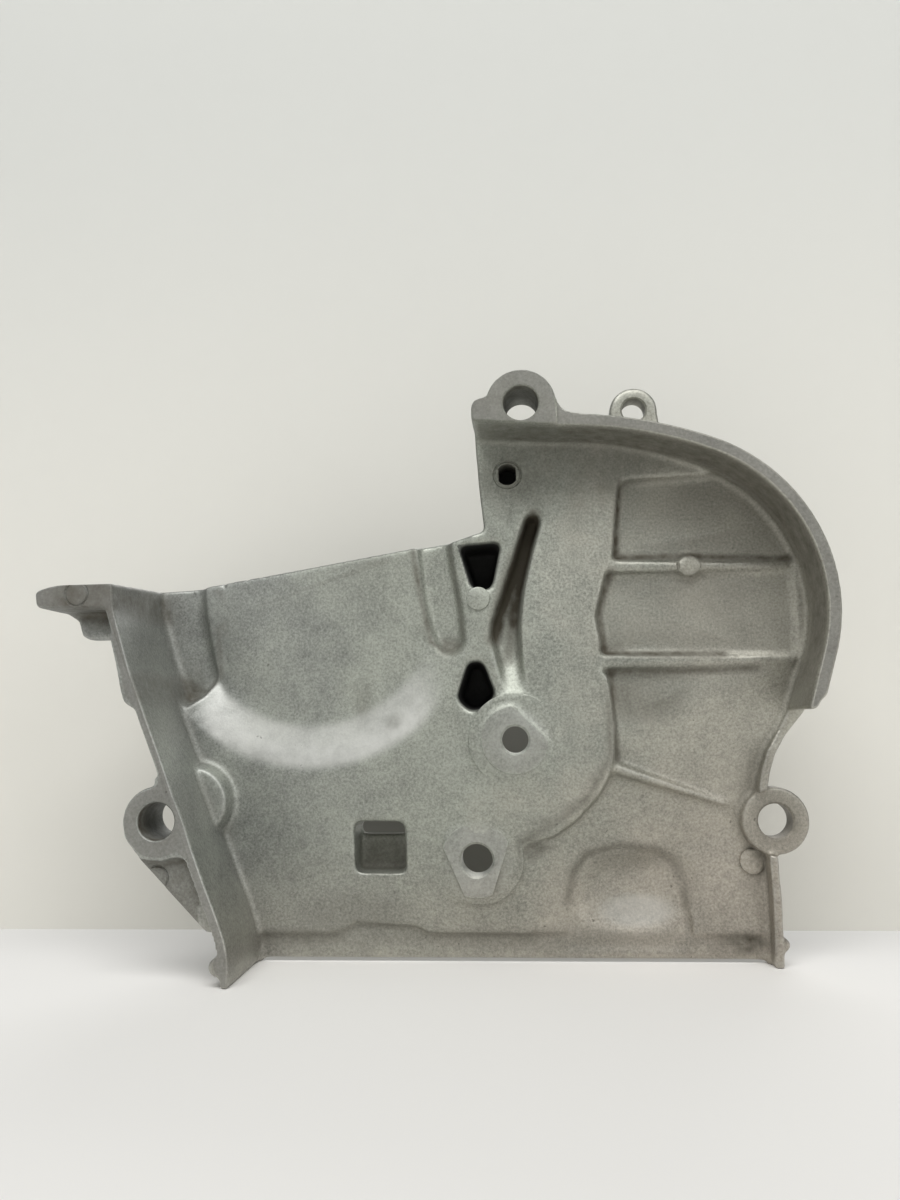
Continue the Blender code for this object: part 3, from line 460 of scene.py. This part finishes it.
# name, x, z, radius, face y, height above the skin
MARKS = (
    ("lug_mark", -120.3, 130.1, 4.0, RIM_Y + FACED, 0.0),
    ("web_mark", -90.6, 34.6, 3.8, -21.5, 0.0),
    ("strut_mark", 17.0, 127.6, 4.1, -3.6, 0.5),
    ("rib_mark", 91.0, 137.5, 4.0, -3.3, 0.0),
    ("floor_mark", 110.2, 34.8, 4.4, 11.0, 1.0),
    ("keyed_mark", *KEYED, 4.9, -4.0, 0.0),
)
PRINT_ROOT, PRINT_EDGE = 1.2, 0.3
SHARP_ANGLE = 38
# section of the groove: y from the face, and radius from its middle
GROOVE = ((-0.7, 0.9), (0.3, 0.3), (0.5, 0.0), (0.3, -0.3), (-0.7, -0.9))

prints, grooves = [], []
for name, x, z, radius, face, height in MARKS:
    if height > 0.0:
        prints.append(raised(name, disc((x, z), radius), face - height, height + PRINT_ROOT, PRINT_EDGE))
    else:
        rings = [(face + y, round_outline(x, z, radius + more)) for y, more in GROOVE]
        grooves.append(lofted(name, rings, hoop=True))
work(casting, "UNION", prints)
work(casting, "DIFFERENCE", grooves)

mesh = casting.data
mesh.polygons.foreach_set("use_smooth", [True] * len(mesh.polygons))
mesh.set_sharp_from_angle(angle=math.radians(SHARP_ANGLE))
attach(casting, "root")
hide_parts("timing_cover")

# ---------------------------------------------------------------------------
# Wear, dirt and painted light: the cover has been in service. Oil and dust stay where the form
# shelters them, with painted shade in the same places, and handling has rubbed the edges bright;
# the dish's flank is brightened by a painted highlight.
# Each is worked out here for every point of the mesh.
REACH = 18.0
RAYS = 14
RAY_LIFT = 0.25
GOLDEN_TURN = 2.39996

# stains: x, z, half width, half height, amount
STAINS = (
    # plateau, top ear and the pockets under the round wall
    (47.0, 172.5, 44.0, 17.0, 0.48), (30.0, 192.0, 22.0, 16.0, 0.36), (28.3, 171.96, 5.4, 5.4, 0.62),
    (92.0, 154.0, 28.0, 19.0, 0.40), (96.0, 131.0, 16.0, 4.0, 0.2), (68.8, 129.0, 8.0, 5.0, 0.34),
    (92.0, 121.0, 36.0, 17.0, 0.46), (65.9, 117.0, 4.4, 4.4, 0.45), (113.0, 116.6, 3.6, 3.6, 0.28),
    (64.0, 109.3, 8.0, 6.0, 0.5), (74.0, 93.0, 17.0, 12.0, 0.60), (69.2, 94.5, 12.0, 7.0, 0.40),
    # plate, dish, channels and window
    (-50.0, 146.0, 46.0, 5.0, 0.24), (-19.8, 139.0, 13.0, 8.0, 0.30), (6.1, 110.9, 6.0, 5.0, 0.55),
    (-97.0, 98.0, 9.0, 9.0, 0.48), (-25.7, 92.9, 4.5, 10.0, 0.32), (-14.5, 84.7, 3.8, 3.2, 0.5),
    (35.2, 39.5, 6.5, 4.5, 0.62), (-20.0, 38.0, 9.0, 9.5, 0.5),
    # lower band and right side
    (-28.0, 15.3, 26.0, 12.0, 0.26), (-50.0, 8.2, 26.0, 5.0, 0.42), (30.0, 8.0, 70.0, 5.0, 0.30),
    (104.7, 7.0, 12.0, 5.0, 0.8), (66.0, 35.5, 18.0, 6.0, 0.24), (112.0, 60.0, 8.0, 20.0, 0.20),
    (117.8, 48.8, 13.0, 13.0, 0.44),
    # lug, left ear and left wall
    (-118.0, 129.0, 20.0, 12.0, 0.72), (-104.0, 120.0, 6.0, 30.0, 0.14), (-96.0, 90.0, 8.0, 30.0, 0.22),
    (-90.3, 53.2, 15.0, 15.0, 0.26),
)
STAIN_FADE = (0.35, 1.15)

# painted shade and dirt drawn along the feet of steps, where the step shades its foot and a cloth doesn't reach:
# route, half width, amount
SEAM_SHADE_AND_DIRT = (
    ([(125.2, 139.2), (89.5, 141.3), (65.8, 141.3), (66.6, 155.0), (67.8, 168.1)], 2.6, 0.78),
    ([(101.6, 106.4), (73.1, 106.7), (61.4, 107.6), (59.1, 121.8), (63.8, 135.6)], 2.6, 0.75),
    ([(112.9, 101.3), (86.6, 100.8), (62.9, 100.9), (62.9, 81.8), (64.2, 71.2)], 2.6, 0.62),
    ([(61.1, 91.3), (61.5, 72.1), (52.6, 57.4), (38.4, 47.2), (29.6, 42.5)], 2.8, 0.5),
    ([(-84.7, 135.0), (-83.2, 116.6), (-82.2, 103.0), (-87.5, 97.4), (-94.9, 97.9)], 2.4, 0.55),
    ([(-6.8, 146.3), (-4.0, 128.8), (-0.5, 113.3), (4.5, 109.2), (10.0, 111.7)], 2.2, 0.66),
    ([(6.7, 147.8), (9.4, 130.8), (11.3, 113.6)], 1.8, 0.45),
    ([(37.5, 157.1), (30.7, 141.6), (24.6, 125.5), (21.8, 113.1)], 4.6, 0.8),
    ([(37.5, 157.1), (33.5, 141.5), (29.2, 125.4), (27.0, 105.9)], 3.6, 0.55),
    (ARCH[2:10], 3.4, 0.42),
)

# painted shade and old oil on the inward side of the round wall (about its centre), old oil on the web under the left
# ear, and painted shade in the bores
WALL_CENTRE = (75.0, 110.0)
WALL_TURNED_IN = (0.5, 0.85)
WALL_DEPTH = (-24.0, -21.0, -7.0, -2.5)
WALL_LEFT, WALL_LOW = 16.0, 88.0
WALL_SHADE_AND_OIL, WEB_OIL = 0.66, 0.55
WEB_RIGHT, WEB_LOW, WEB_HIGH, WEB_FRONT, WEB_BACK = -76.0, 14.0, 43.0, -23.2, -17.0
BORE_SHADE = {"top_ear": 0.72, "left_ear": 0.9, "right_ear": 0.5, "rear_ear": 0.45}

# deep blind pockets that no light and no cloth reaches, painted near black as shade and dirt
BLIND = (
    [(9.6, 147.6), (14.4, 130.2), (22.4, 130.2), (26.2, 148.5)],
    [(12.2, 106.0), (19.0, 106.0), (23.4, 93.4), (17.0, 87.4), (12.2, 87.6), (7.8, 92.6)],
    [(24.4, 168.0), (32.2, 168.0), (32.2, 176.0), (24.4, 176.0)],
)
BLIND_DEPTH = (-3.0, -0.2)
BLIND_BACK = 14.2

# painted highlights on the flank of the dish, which faces up into the light, and on smaller pale places: x, z, half
# width, half height, amount
PALE_RADII = (48.0, 52.5, 63.0, 67.5)
PALE_TOP = (94.0, 114.0)
PALE_SIDES = (-92.0, -82.0, -8.0, 6.0)
PALE_OUTWARD = (54.0, 62.0)
PALE_PLACES = ((70.0, 17.5, 15.0, 6.5, 0.45), (*UPPER_BOSS, 13.0, 13.0, 0.3), (*LOWER_BOSS, 14.0, 14.0, 0.25))
PALE_FADE = (0.5, 1.1)

# faces that count as flat, how closely they lie on a milled level, the seats' reach and their share of fresh metal
FLAT = -0.9995
ON_RIM, ON_SEAT, SEAT_MORE, SEAT_FRESH = 0.01, 0.02, 0.2, 0.5


def patch(points, x, z, wide, tall, fade):
    """1 within an ellipse, fading out over its edge."""
    away = np.hypot((points[:, 0] - x) / wide, (points[:, 2] - z) / tall)
    return 1.0 - ramp(away, *fade)


def away_from_route(points, route):
    """Distance from a line of straight stretches, seen from the front."""
    px, pz = points[:, 0], points[:, 2]
    away = np.full(len(points), 1000.0)
    for (x0, z0), (x1, z1) in zip(route, route[1:]):
        dx, dz = x1 - x0, z1 - z0
        along = np.clip(((px - x0) * dx + (pz - z0) * dz) / (dx ** 2 + dz ** 2), 0.0, 1.0)
        away = np.minimum(away, np.hypot(px - x0 - along * dx, pz - z0 - along * dz))
    return away


def inside(outline, points):
    """Whether each point lies within an outline, seen from the front."""
    x, z = points[:, 0], points[:, 2]
    within = np.zeros(len(points), bool)
    for (x0, z0), (x1, z1) in zip(outline, outline[1:] + outline[:1]):
        if z0 != z1:
            within ^= ((z0 > z) != (z1 > z)) & (x < (x1 - x0) * (z - z0) / (z1 - z0) + x0)
    return within


def keep(name, values, domain="POINT"):
    layer = mesh.attributes.new(name, "FLOAT", domain)
    layer.data.foreach_set("value", values.astype(np.float32))


points, edges, normals = points_of(mesh), edges_of(mesh), normals_of(mesh)
bend = np.array([fine_bend[bend_places.find(spot)[1]] for spot in points.tolist()])

# shelter: how much of a fan of rays over each point ends on the casting, and how soon
tree = BVHTree.FromPolygons(points.tolist(), [tuple(p.vertices) for p in mesh.polygons])
side = np.cross(normals, np.where(np.abs(normals[:, 2:]) < 0.9, [[0.0, 0.0, 1.0]], [[1.0, 0.0, 0.0]]))
side /= np.linalg.norm(side, axis=1, keepdims=True)
over = np.cross(normals, side)
starts = (points + normals * RAY_LIFT).tolist()
shelter = np.zeros(len(points))
for ray in range(RAYS):
    out = math.sqrt(1.0 - (ray + 0.5) / RAYS)
    wide = math.sqrt(1.0 - out * out)
    across, along = wide * math.cos(ray * GOLDEN_TURN), wide * math.sin(ray * GOLDEN_TURN)
    ways = (side * across + over * along + normals * out).tolist()
    for i, (start, way) in enumerate(zip(starts, ways)):
        hit = tree.ray_cast(start, way, REACH)[3]
        if hit is not None:
            shelter[i] += 1.0 - hit / REACH
shelter = spread(shelter / RAYS, edges, 3)

stain_and_shade_mask = np.zeros(len(points))
for x, z, wide, tall, amount in STAINS:
    stain_and_shade_mask = np.maximum(stain_and_shade_mask, amount * patch(points, x, z, wide, tall, STAIN_FADE))
# painted shade and dirt along the feet of steps
for route, wide, amount in SEAM_SHADE_AND_DIRT:
    stain_and_shade_mask = np.maximum(stain_and_shade_mask, amount * (1.0 - ramp(away_from_route(points, route) / wide, 0.0, 1.0)))

# painted shade and oil: the round wall's faces turned inward are darkened
out_x, out_z = points[:, 0] - WALL_CENTRE[0], points[:, 2] - WALL_CENTRE[1]
inward = -(normals[:, 0] * out_x + normals[:, 2] * out_z) / np.hypot(out_x, out_z)
walled = ramp(inward, *WALL_TURNED_IN) * band(points[:, 1], *WALL_DEPTH)
stain_and_shade_mask = np.maximum(stain_and_shade_mask, WALL_SHADE_AND_OIL * walled * (points[:, 0] > WALL_LEFT) * (points[:, 2] > WALL_LOW))
web = (points[:, 0] < WEB_RIGHT) * (points[:, 2] < WEB_HIGH) * (points[:, 2] > WEB_LOW) * (normals[:, 1] < -0.5)
stain_and_shade_mask = np.maximum(stain_and_shade_mask, WEB_OIL * web * (points[:, 1] > WEB_FRONT) * (points[:, 1] < WEB_BACK))
# painted shade on the walls inside the bores
for name, amount in BORE_SHADE.items():
    x, z, diameter = BORES[name][:3]
    bored = (away_from((x, z), points) < diameter / 2.0 + 0.1) * (np.abs(normals[:, 1]) < 0.5)
    stain_and_shade_mask = np.maximum(stain_and_shade_mask, amount * bored)

# painted shade and dirt: the blind pockets are painted near black
pocket_shade_and_dirt = np.zeros(len(points))
for outline in BLIND:
    pocket_shade_and_dirt = np.maximum(pocket_shade_and_dirt, inside(outline, points) * ramp(points[:, 1], *BLIND_DEPTH))
pocket_shade_and_dirt *= points[:, 1] < BLIND_BACK

# painted highlight: the dish's flank, faced up into the light, and the pale places
from_dish = away_from(DISH, points)
painted_highlight = band(from_dish, *PALE_RADII) * (1.0 - ramp(points[:, 2], *PALE_TOP))
painted_highlight *= band(points[:, 0], *PALE_SIDES) * (0.7 + 0.3 * ramp(from_dish, *PALE_OUTWARD))
for x, z, wide, tall, amount in PALE_PLACES:
    painted_highlight = np.maximum(painted_highlight, amount * patch(points, x, z, wide, tall, PALE_FADE))
painted_highlight *= normals[:, 1] < -0.3

# the milled rim is flat to the eye as well; the seats have dulled more than it has
seats = ((upper_face, UPPER_BOSS, UPPER_SEAT_R + SEAT_MORE), (lower_face, LOWER_BOSS, LOWER_SEAT_R + SEAT_MORE))
milled = np.zeros(len(mesh.polygons))
for i, p in enumerate(mesh.polygons):
    if p.normal.y < FLAT:
        x, y, z = p.center / MM
        if y < RIM_Y + FACED + ON_RIM:
            p.use_smooth = False
            milled[i] = 1.0
        elif any(abs(y - face) < ON_SEAT and math.hypot(x - sx, z - sz) < radius for face, (sx, sz), radius in seats):
            milled[i] = SEAT_FRESH

mesh.update()
keep("shelter", shelter)
keep("bend", bend)
keep("stain_and_shade_mask", stain_and_shade_mask)
keep("pocket_shade_and_dirt", pocket_shade_and_dirt)
keep("painted_highlight", painted_highlight)
keep("milled", milled, "FACE")

# ---------------------------------------------------------------------------
# The material: bare cast aluminium with the grain of the die in its skin, never
# painted. Dirt, wear, painted shade and painted highlights come from what was worked out above, broken up by mottle.
SKIN_LEFT, SKIN_MIDDLE = (0.335, 0.345, 0.325, 1.0), (0.355, 0.37, 0.325, 1.0)
SKIN_WARM, SKIN_LOW = (0.375, 0.345, 0.295, 1.0), (0.36, 0.33, 0.285, 1.0)
RUBBED, HIGHLIGHT_PAINT = (0.55, 0.54, 0.515, 1.0), (0.70, 0.70, 0.67, 1.0)
MILLED_DULL, MILLED_CLEAN = (0.205, 0.20, 0.185, 1.0), (0.30, 0.295, 0.275, 1.0)
# the colours of dirt with painted shade, of specks, and of the painted shade and dirt in the blind pockets
DIRT_AND_SHADE, SPECK, POCKET_SHADE_AND_DIRT = (0.066, 0.057, 0.039, 1.0), (0.05, 0.045, 0.035, 1.0), (0.006, 0.006, 0.005, 1.0)

# patches per metre of each kind of mottle, and how far each effect changes the colour
PATCH_SCALE, SPOT_SCALE, GRAIN_SCALE = 45.0, 260.0, 1150.0
MILLED_SCALE, SPECK_SCALE, SPECK_AREA_SCALE = 900.0, 520.0, 60.0
RUB_SHARE, MILLED_SHARE, HIGHLIGHT_SHARE, HELD_DIRT_AND_SHADE_SHARE, SPECK_SHARE = 0.28, 0.65, 0.85, 0.60, 0.55
GRAIN_STRENGTH, GRAIN_DEPTH = 0.42, 0.12
# the range that most of a mottle lies in
MOST = (0.3, 0.7)

# the node tree that the functions below draw in
drawn = None


def add(kind, values=(), **settings):
    """A node of the drawn tree; values are (socket, number, colour or linked output)."""
    node = drawn.nodes.new(kind)
    for key, setting in settings.items():
        setattr(node, key, setting)
    for socket, value in values:
        if isinstance(value, (int, float, tuple)):
            node.inputs[socket].default_value = value
        else:
            drawn.links.new(value, node.inputs[socket])
    return node


def own_place():
    return add("ShaderNodeTexCoord").outputs["Object"]


def mottle(scale, detail=3.0, rough=0.55):
    """Noise of 0 to 1."""
    return add("ShaderNodeTexNoise", [("Vector", place), ("Scale", scale), ("Detail", detail),
                                      ("Roughness", rough)]).outputs["Fac"]


def maths(operation, a, b, clamp=False):
    return add("ShaderNodeMath", [(0, a), (1, b)], operation=operation, use_clamp=clamp).outputs[0]


def between(value, low, high, to_low=0.0, to_high=1.0, soft=True):
    """A value carried from one range to another."""
    kind = "SMOOTHSTEP" if soft else "LINEAR"
    return add("ShaderNodeMapRange", [("Value", value), ("From Min", low), ("From Max", high), ("To Min", to_low),
                                      ("To Max", to_high)], interpolation_type=kind).outputs["Result"]


def blend(share, a, b, kind="MIX"):
    return add("ShaderNodeMix", [("Factor", share), ("A", a), ("B", b)], data_type="RGBA",
               blend_type=kind).outputs["Result"]


def kept(name):
    return add("ShaderNodeAttribute", attribute_name=name).outputs["Fac"]


metal = bpy.data.materials.new("cast_aluminium")
metal.use_nodes = True
drawn = metal.node_tree
shader = drawn.nodes["Principled BSDF"]
place = own_place()
axes = add("ShaderNodeSeparateXYZ", [("Vector", place)])
patches, spots, grain = mottle(PATCH_SCALE, 4.0), mottle(SPOT_SCALE), mottle(GRAIN_SCALE, 3.0, 0.75)

# the skin: bluish grey at the left, greener at the middle, warm at the right and along the bottom
across = maths("ADD", axes.outputs["X"], maths("MULTIPLY", maths("SUBTRACT", patches, 0.5), 0.10))
warm = maths("SUBTRACT", between(across, -0.03, 0.11), between(axes.outputs["Z"], 0.02, 0.09, 0.0, 0.45), True)
colour = blend(between(across, -0.12, 0.0), SKIN_LEFT, SKIN_MIDDLE)
colour = blend(warm, colour, SKIN_WARM)
colour = blend(between(axes.outputs["Z"], 0.05, 0.0, 0.0, 0.5), colour, SKIN_LOW)
tone = maths("ADD", between(patches, *MOST, 0.86, 1.14, False), between(spots, *MOST, -0.07, 0.07, False))
tone = maths("ADD", tone, between(grain, *MOST, -0.32, 0.32, False))
colour = blend(1.0, colour, tone, "MULTIPLY")

# rubbed edges, the milled faces with their fine marks, and the painted highlights on the dish's flank and pale places
rub = maths("MULTIPLY", between(kept("bend"), -0.05, -0.22), between(spots, 0.35, 0.6, 0.35, 1.0))
colour = blend(maths("MULTIPLY", rub, RUB_SHARE), colour, RUBBED)
faced = kept("milled")
cleaned = blend(between(mottle(MILLED_SCALE, 3.0, 0.7), *MOST), MILLED_DULL, MILLED_CLEAN)
colour = blend(maths("MULTIPLY", faced, MILLED_SHARE), colour, cleaned)
# painted highlight on the dish's flank and the pale places
flank_highlight = maths("MULTIPLY", kept("painted_highlight"), between(maths("ADD", spots, patches), 0.7, 1.3, 0.75, 1.0))
colour = blend(maths("MULTIPLY", flank_highlight, HIGHLIGHT_SHARE), colour, HIGHLIGHT_PAINT)

# dirt and painted shade: in sheltered places and concave creases, and in the stains and seams, broken up by the
# roughness of the skin
# sheltered places and concave creases get dirt and painted shade
held_dirt_and_shade = maths("ADD", between(kept("shelter"), 0.12, 0.52), between(kept("bend"), 0.02, 0.13, 0.0, 0.45))
held_dirt_and_shade = maths("MULTIPLY", held_dirt_and_shade, between(patches, 0.25, 0.75, 0.65, 1.1, False))
mottled_stain_and_shade = maths("MULTIPLY", kept("stain_and_shade_mask"), between(spots, 0.2, 0.7, 0.45, 1.25, False))
dirt_and_shade = maths("ADD", maths("MULTIPLY", held_dirt_and_shade, HELD_DIRT_AND_SHADE_SHARE), mottled_stain_and_shade, True)
colour = blend(dirt_and_shade, colour, DIRT_AND_SHADE)
speck_area = between(mottle(SPECK_AREA_SCALE, 1.0), 0.52, 0.66)
specks = maths("MULTIPLY", between(mottle(SPECK_SCALE, 1.0), 0.73, 0.79), speck_area)
colour = blend(maths("MULTIPLY", specks, SPECK_SHARE), colour, SPECK)
# painted shade and dirt in the blind pockets, near black
colour = blend(kept("pocket_shade_and_dirt"), colour, POCKET_SHADE_AND_DIRT)
drawn.links.new(colour, shader.inputs["Base Color"])

# dirt and the painted shade with it are dull and hardly metallic, and worn or milled metal is smoother than the skin
dull = maths("MAXIMUM", dirt_and_shade, kept("pocket_shade_and_dirt"))
drawn.links.new(between(dull, 0.0, 0.9, 0.8, 0.15, False), shader.inputs["Metallic"])
rough = maths("ADD", between(patches, *MOST, 0.44, 0.56, False), between(grain, *MOST, -0.05, 0.05, False))
rough = maths("SUBTRACT", rough, maths("MULTIPLY", rub, 0.10))
rough = maths("SUBTRACT", rough, maths("MULTIPLY", faced, 0.08))
drawn.links.new(maths("ADD", rough, maths("MULTIPLY", dull, 0.25), True), shader.inputs["Roughness"])

relief = add("ShaderNodeBump", [("Strength", GRAIN_STRENGTH), ("Distance", GRAIN_DEPTH * MM),
                                ("Height", maths("ADD", grain, maths("MULTIPLY", spots, 0.8)))])
drawn.links.new(relief.outputs["Normal"], shader.inputs["Normal"])
mesh.materials.clear()
mesh.materials.append(metal)

# ---------------------------------------------------------------------------
# Stage: a pale table and a painted wall behind the cover. The wall shows from its
# front only, evens out the light of the lamps, and carries a painted shadow close behind the cover.
# Places and sizes of the stage, the lamps and the camera are metres.
STAGE_REACH, WALL_HEIGHT = 3.0, 2.5
WALL_Y = (RIM_Y + 89.0) * MM
TABLE_COLOUR = (0.80, 0.785, 0.76, 1.0)
WALL_LOW_COLOUR, WALL_HIGH_COLOUR = (0.735, 0.72, 0.665, 1.0), (0.56, 0.565, 0.54, 1.0)
# the colour of the painted shadow, and its ellipse on the wall behind the cover
WALL_PAINTED_SHADOW = (0.035, 0.035, 0.03, 1.0)
WALL_RISE = (0.05, 0.42)
SHADE_X, SHADE_Z, SHADE_WIDE, SHADE_TALL, SHADE_MOST = 0.006, 0.058, 0.075, 0.052, 0.72
SHADE_FADE = (0.5, 1.6)


def stage_plane(name, corners, colour):
    mesh = bpy.data.meshes.new(name)
    mesh.from_pydata(corners, [], [(0, 1, 2, 3)])
    body = bpy.data.objects.new(name, mesh)
    bpy.context.scene.collection.objects.link(body)
    paint = bpy.data.materials.new(name)
    paint.use_nodes = True
    paint.node_tree.nodes["Principled BSDF"].inputs["Base Color"].default_value = colour
    paint.node_tree.nodes["Principled BSDF"].inputs["Roughness"].default_value = 0.9
    mesh.materials.append(paint)
    return paint.node_tree


far = STAGE_REACH
stage_plane("table", [(-far, -far, 0), (far, -far, 0), (far, far, 0), (-far, far, 0)], TABLE_COLOUR)
drawn = stage_plane("wall", [(-far, WALL_Y, 0), (far, WALL_Y, 0), (far, WALL_Y, WALL_HEIGHT),
                             (-far, WALL_Y, WALL_HEIGHT)], WALL_LOW_COLOUR)
paint = drawn.nodes["Principled BSDF"]
axes = add("ShaderNodeSeparateXYZ", [(0, own_place())])
by_height = blend(between(axes.outputs["Z"], *WALL_RISE), WALL_LOW_COLOUR, WALL_HIGH_COLOUR)
# painted shadow: the wall is darkened in an ellipse close behind the cover
off_x = maths("MULTIPLY", maths("ADD", axes.outputs["X"], -SHADE_X), 1.0 / SHADE_WIDE)
off_z = maths("MULTIPLY", maths("ADD", axes.outputs["Z"], -SHADE_Z), 1.0 / SHADE_TALL)
away = maths("ADD", maths("POWER", off_x, 2.0), maths("POWER", off_z, 2.0))
shaded = blend(between(away, *SHADE_FADE, SHADE_MOST, 0.0), by_height, WALL_PAINTED_SHADOW)
drawn.links.new(shaded, paint.inputs["Base Color"])
seen_from_behind = add("ShaderNodeNewGeometry").outputs["Backfacing"]
shown = maths("SUBTRACT", add("ShaderNodeLightPath").outputs["Is Camera Ray"], seen_from_behind, True)
one_sided = add("ShaderNodeMixShader", [(0, shown), (1, add("ShaderNodeBsdfTransparent").outputs[0]),
                                        (2, paint.outputs[0])])
drawn.links.new(one_sided.outputs[0], drawn.nodes["Material Output"].inputs["Surface"])

# ---------------------------------------------------------------------------
# Light: one wide soft box above and in front, a weak one at each side, one behind
# that lights the edges, and an even pale air.

# name, place, height it aims at, width and height, power
LAMPS = (
    ("overhead", (0.0, -0.85, 1.35), 0.12, (1.5, 0.7), 19.5),
    ("left_side", (-1.0, -0.75, 0.45), 0.1, (0.7, 0.9), 1.6),
    ("right_side", (1.0, -0.75, 0.45), 0.1, (0.7, 0.9), 3.0),
    ("behind", (0.2, 1.4, 1.1), 0.1, (1.4, 0.8), 9.0),
)
AIR_LIGHT, AIR_STRENGTH = (0.88, 0.9, 0.87, 1.0), 0.30
AIR_SEEN, SEEN_STRENGTH = (0.66, 0.66, 0.63, 1.0), 1.0

for name, lamp_place, aim, size, power in LAMPS:
    lamp = bpy.data.lights.new(name, "AREA")
    lamp.shape = "RECTANGLE"
    lamp.size, lamp.size_y = size
    lamp.energy = power
    body = bpy.data.objects.new(name, lamp)
    body.location = lamp_place
    body.rotation_euler = (Vector((0.0, 0.0, aim)) - Vector(lamp_place)).to_track_quat("-Z", "Y").to_euler()
    bpy.context.scene.collection.objects.link(body)

world = bpy.data.worlds.new("room")
world.use_nodes = True
drawn = world.node_tree
light = drawn.nodes["Background"]
light.inputs["Color"].default_value = AIR_LIGHT
light.inputs["Strength"].default_value = AIR_STRENGTH
seen = add("ShaderNodeBackground", [("Color", AIR_SEEN), ("Strength", SEEN_STRENGTH)])
camera_ray = add("ShaderNodeLightPath").outputs["Is Camera Ray"]
air = add("ShaderNodeMixShader", [(0, camera_ray), (1, light.outputs[0]), (2, seen.outputs[0])])
drawn.links.new(air.outputs[0], drawn.nodes["World Output"].inputs["Surface"])
bpy.context.scene.world = world

# ---------------------------------------------------------------------------
# Camera: a little right of the middle, turned a few degrees left and up, as the
# photograph was taken.
CAMERA_PLACE = (0.0342, RIM_Y * MM - 0.312, 0.0847)
CAMERA_LENS = 28.5
CAMERA_RIGHT = Vector((0.996408, 0.083258, -0.015444))
CAMERA_UP = Vector((0.025808, -0.124884, 0.991836))
CAMERA_FORWARD = Vector((-0.080650, 0.988672, 0.126584))

lens = bpy.data.cameras.new("camera")
lens.lens = CAMERA_LENS
camera = bpy.data.objects.new("camera", lens)
bpy.context.scene.collection.objects.link(camera)
turn = Matrix((CAMERA_RIGHT, CAMERA_UP, -CAMERA_FORWARD)).transposed().to_4x4()
camera.matrix_world = Matrix.Translation(CAMERA_PLACE) @ turn
bpy.context.scene.camera = camera
bpy.context.scene.view_settings.view_transform = "Standard"
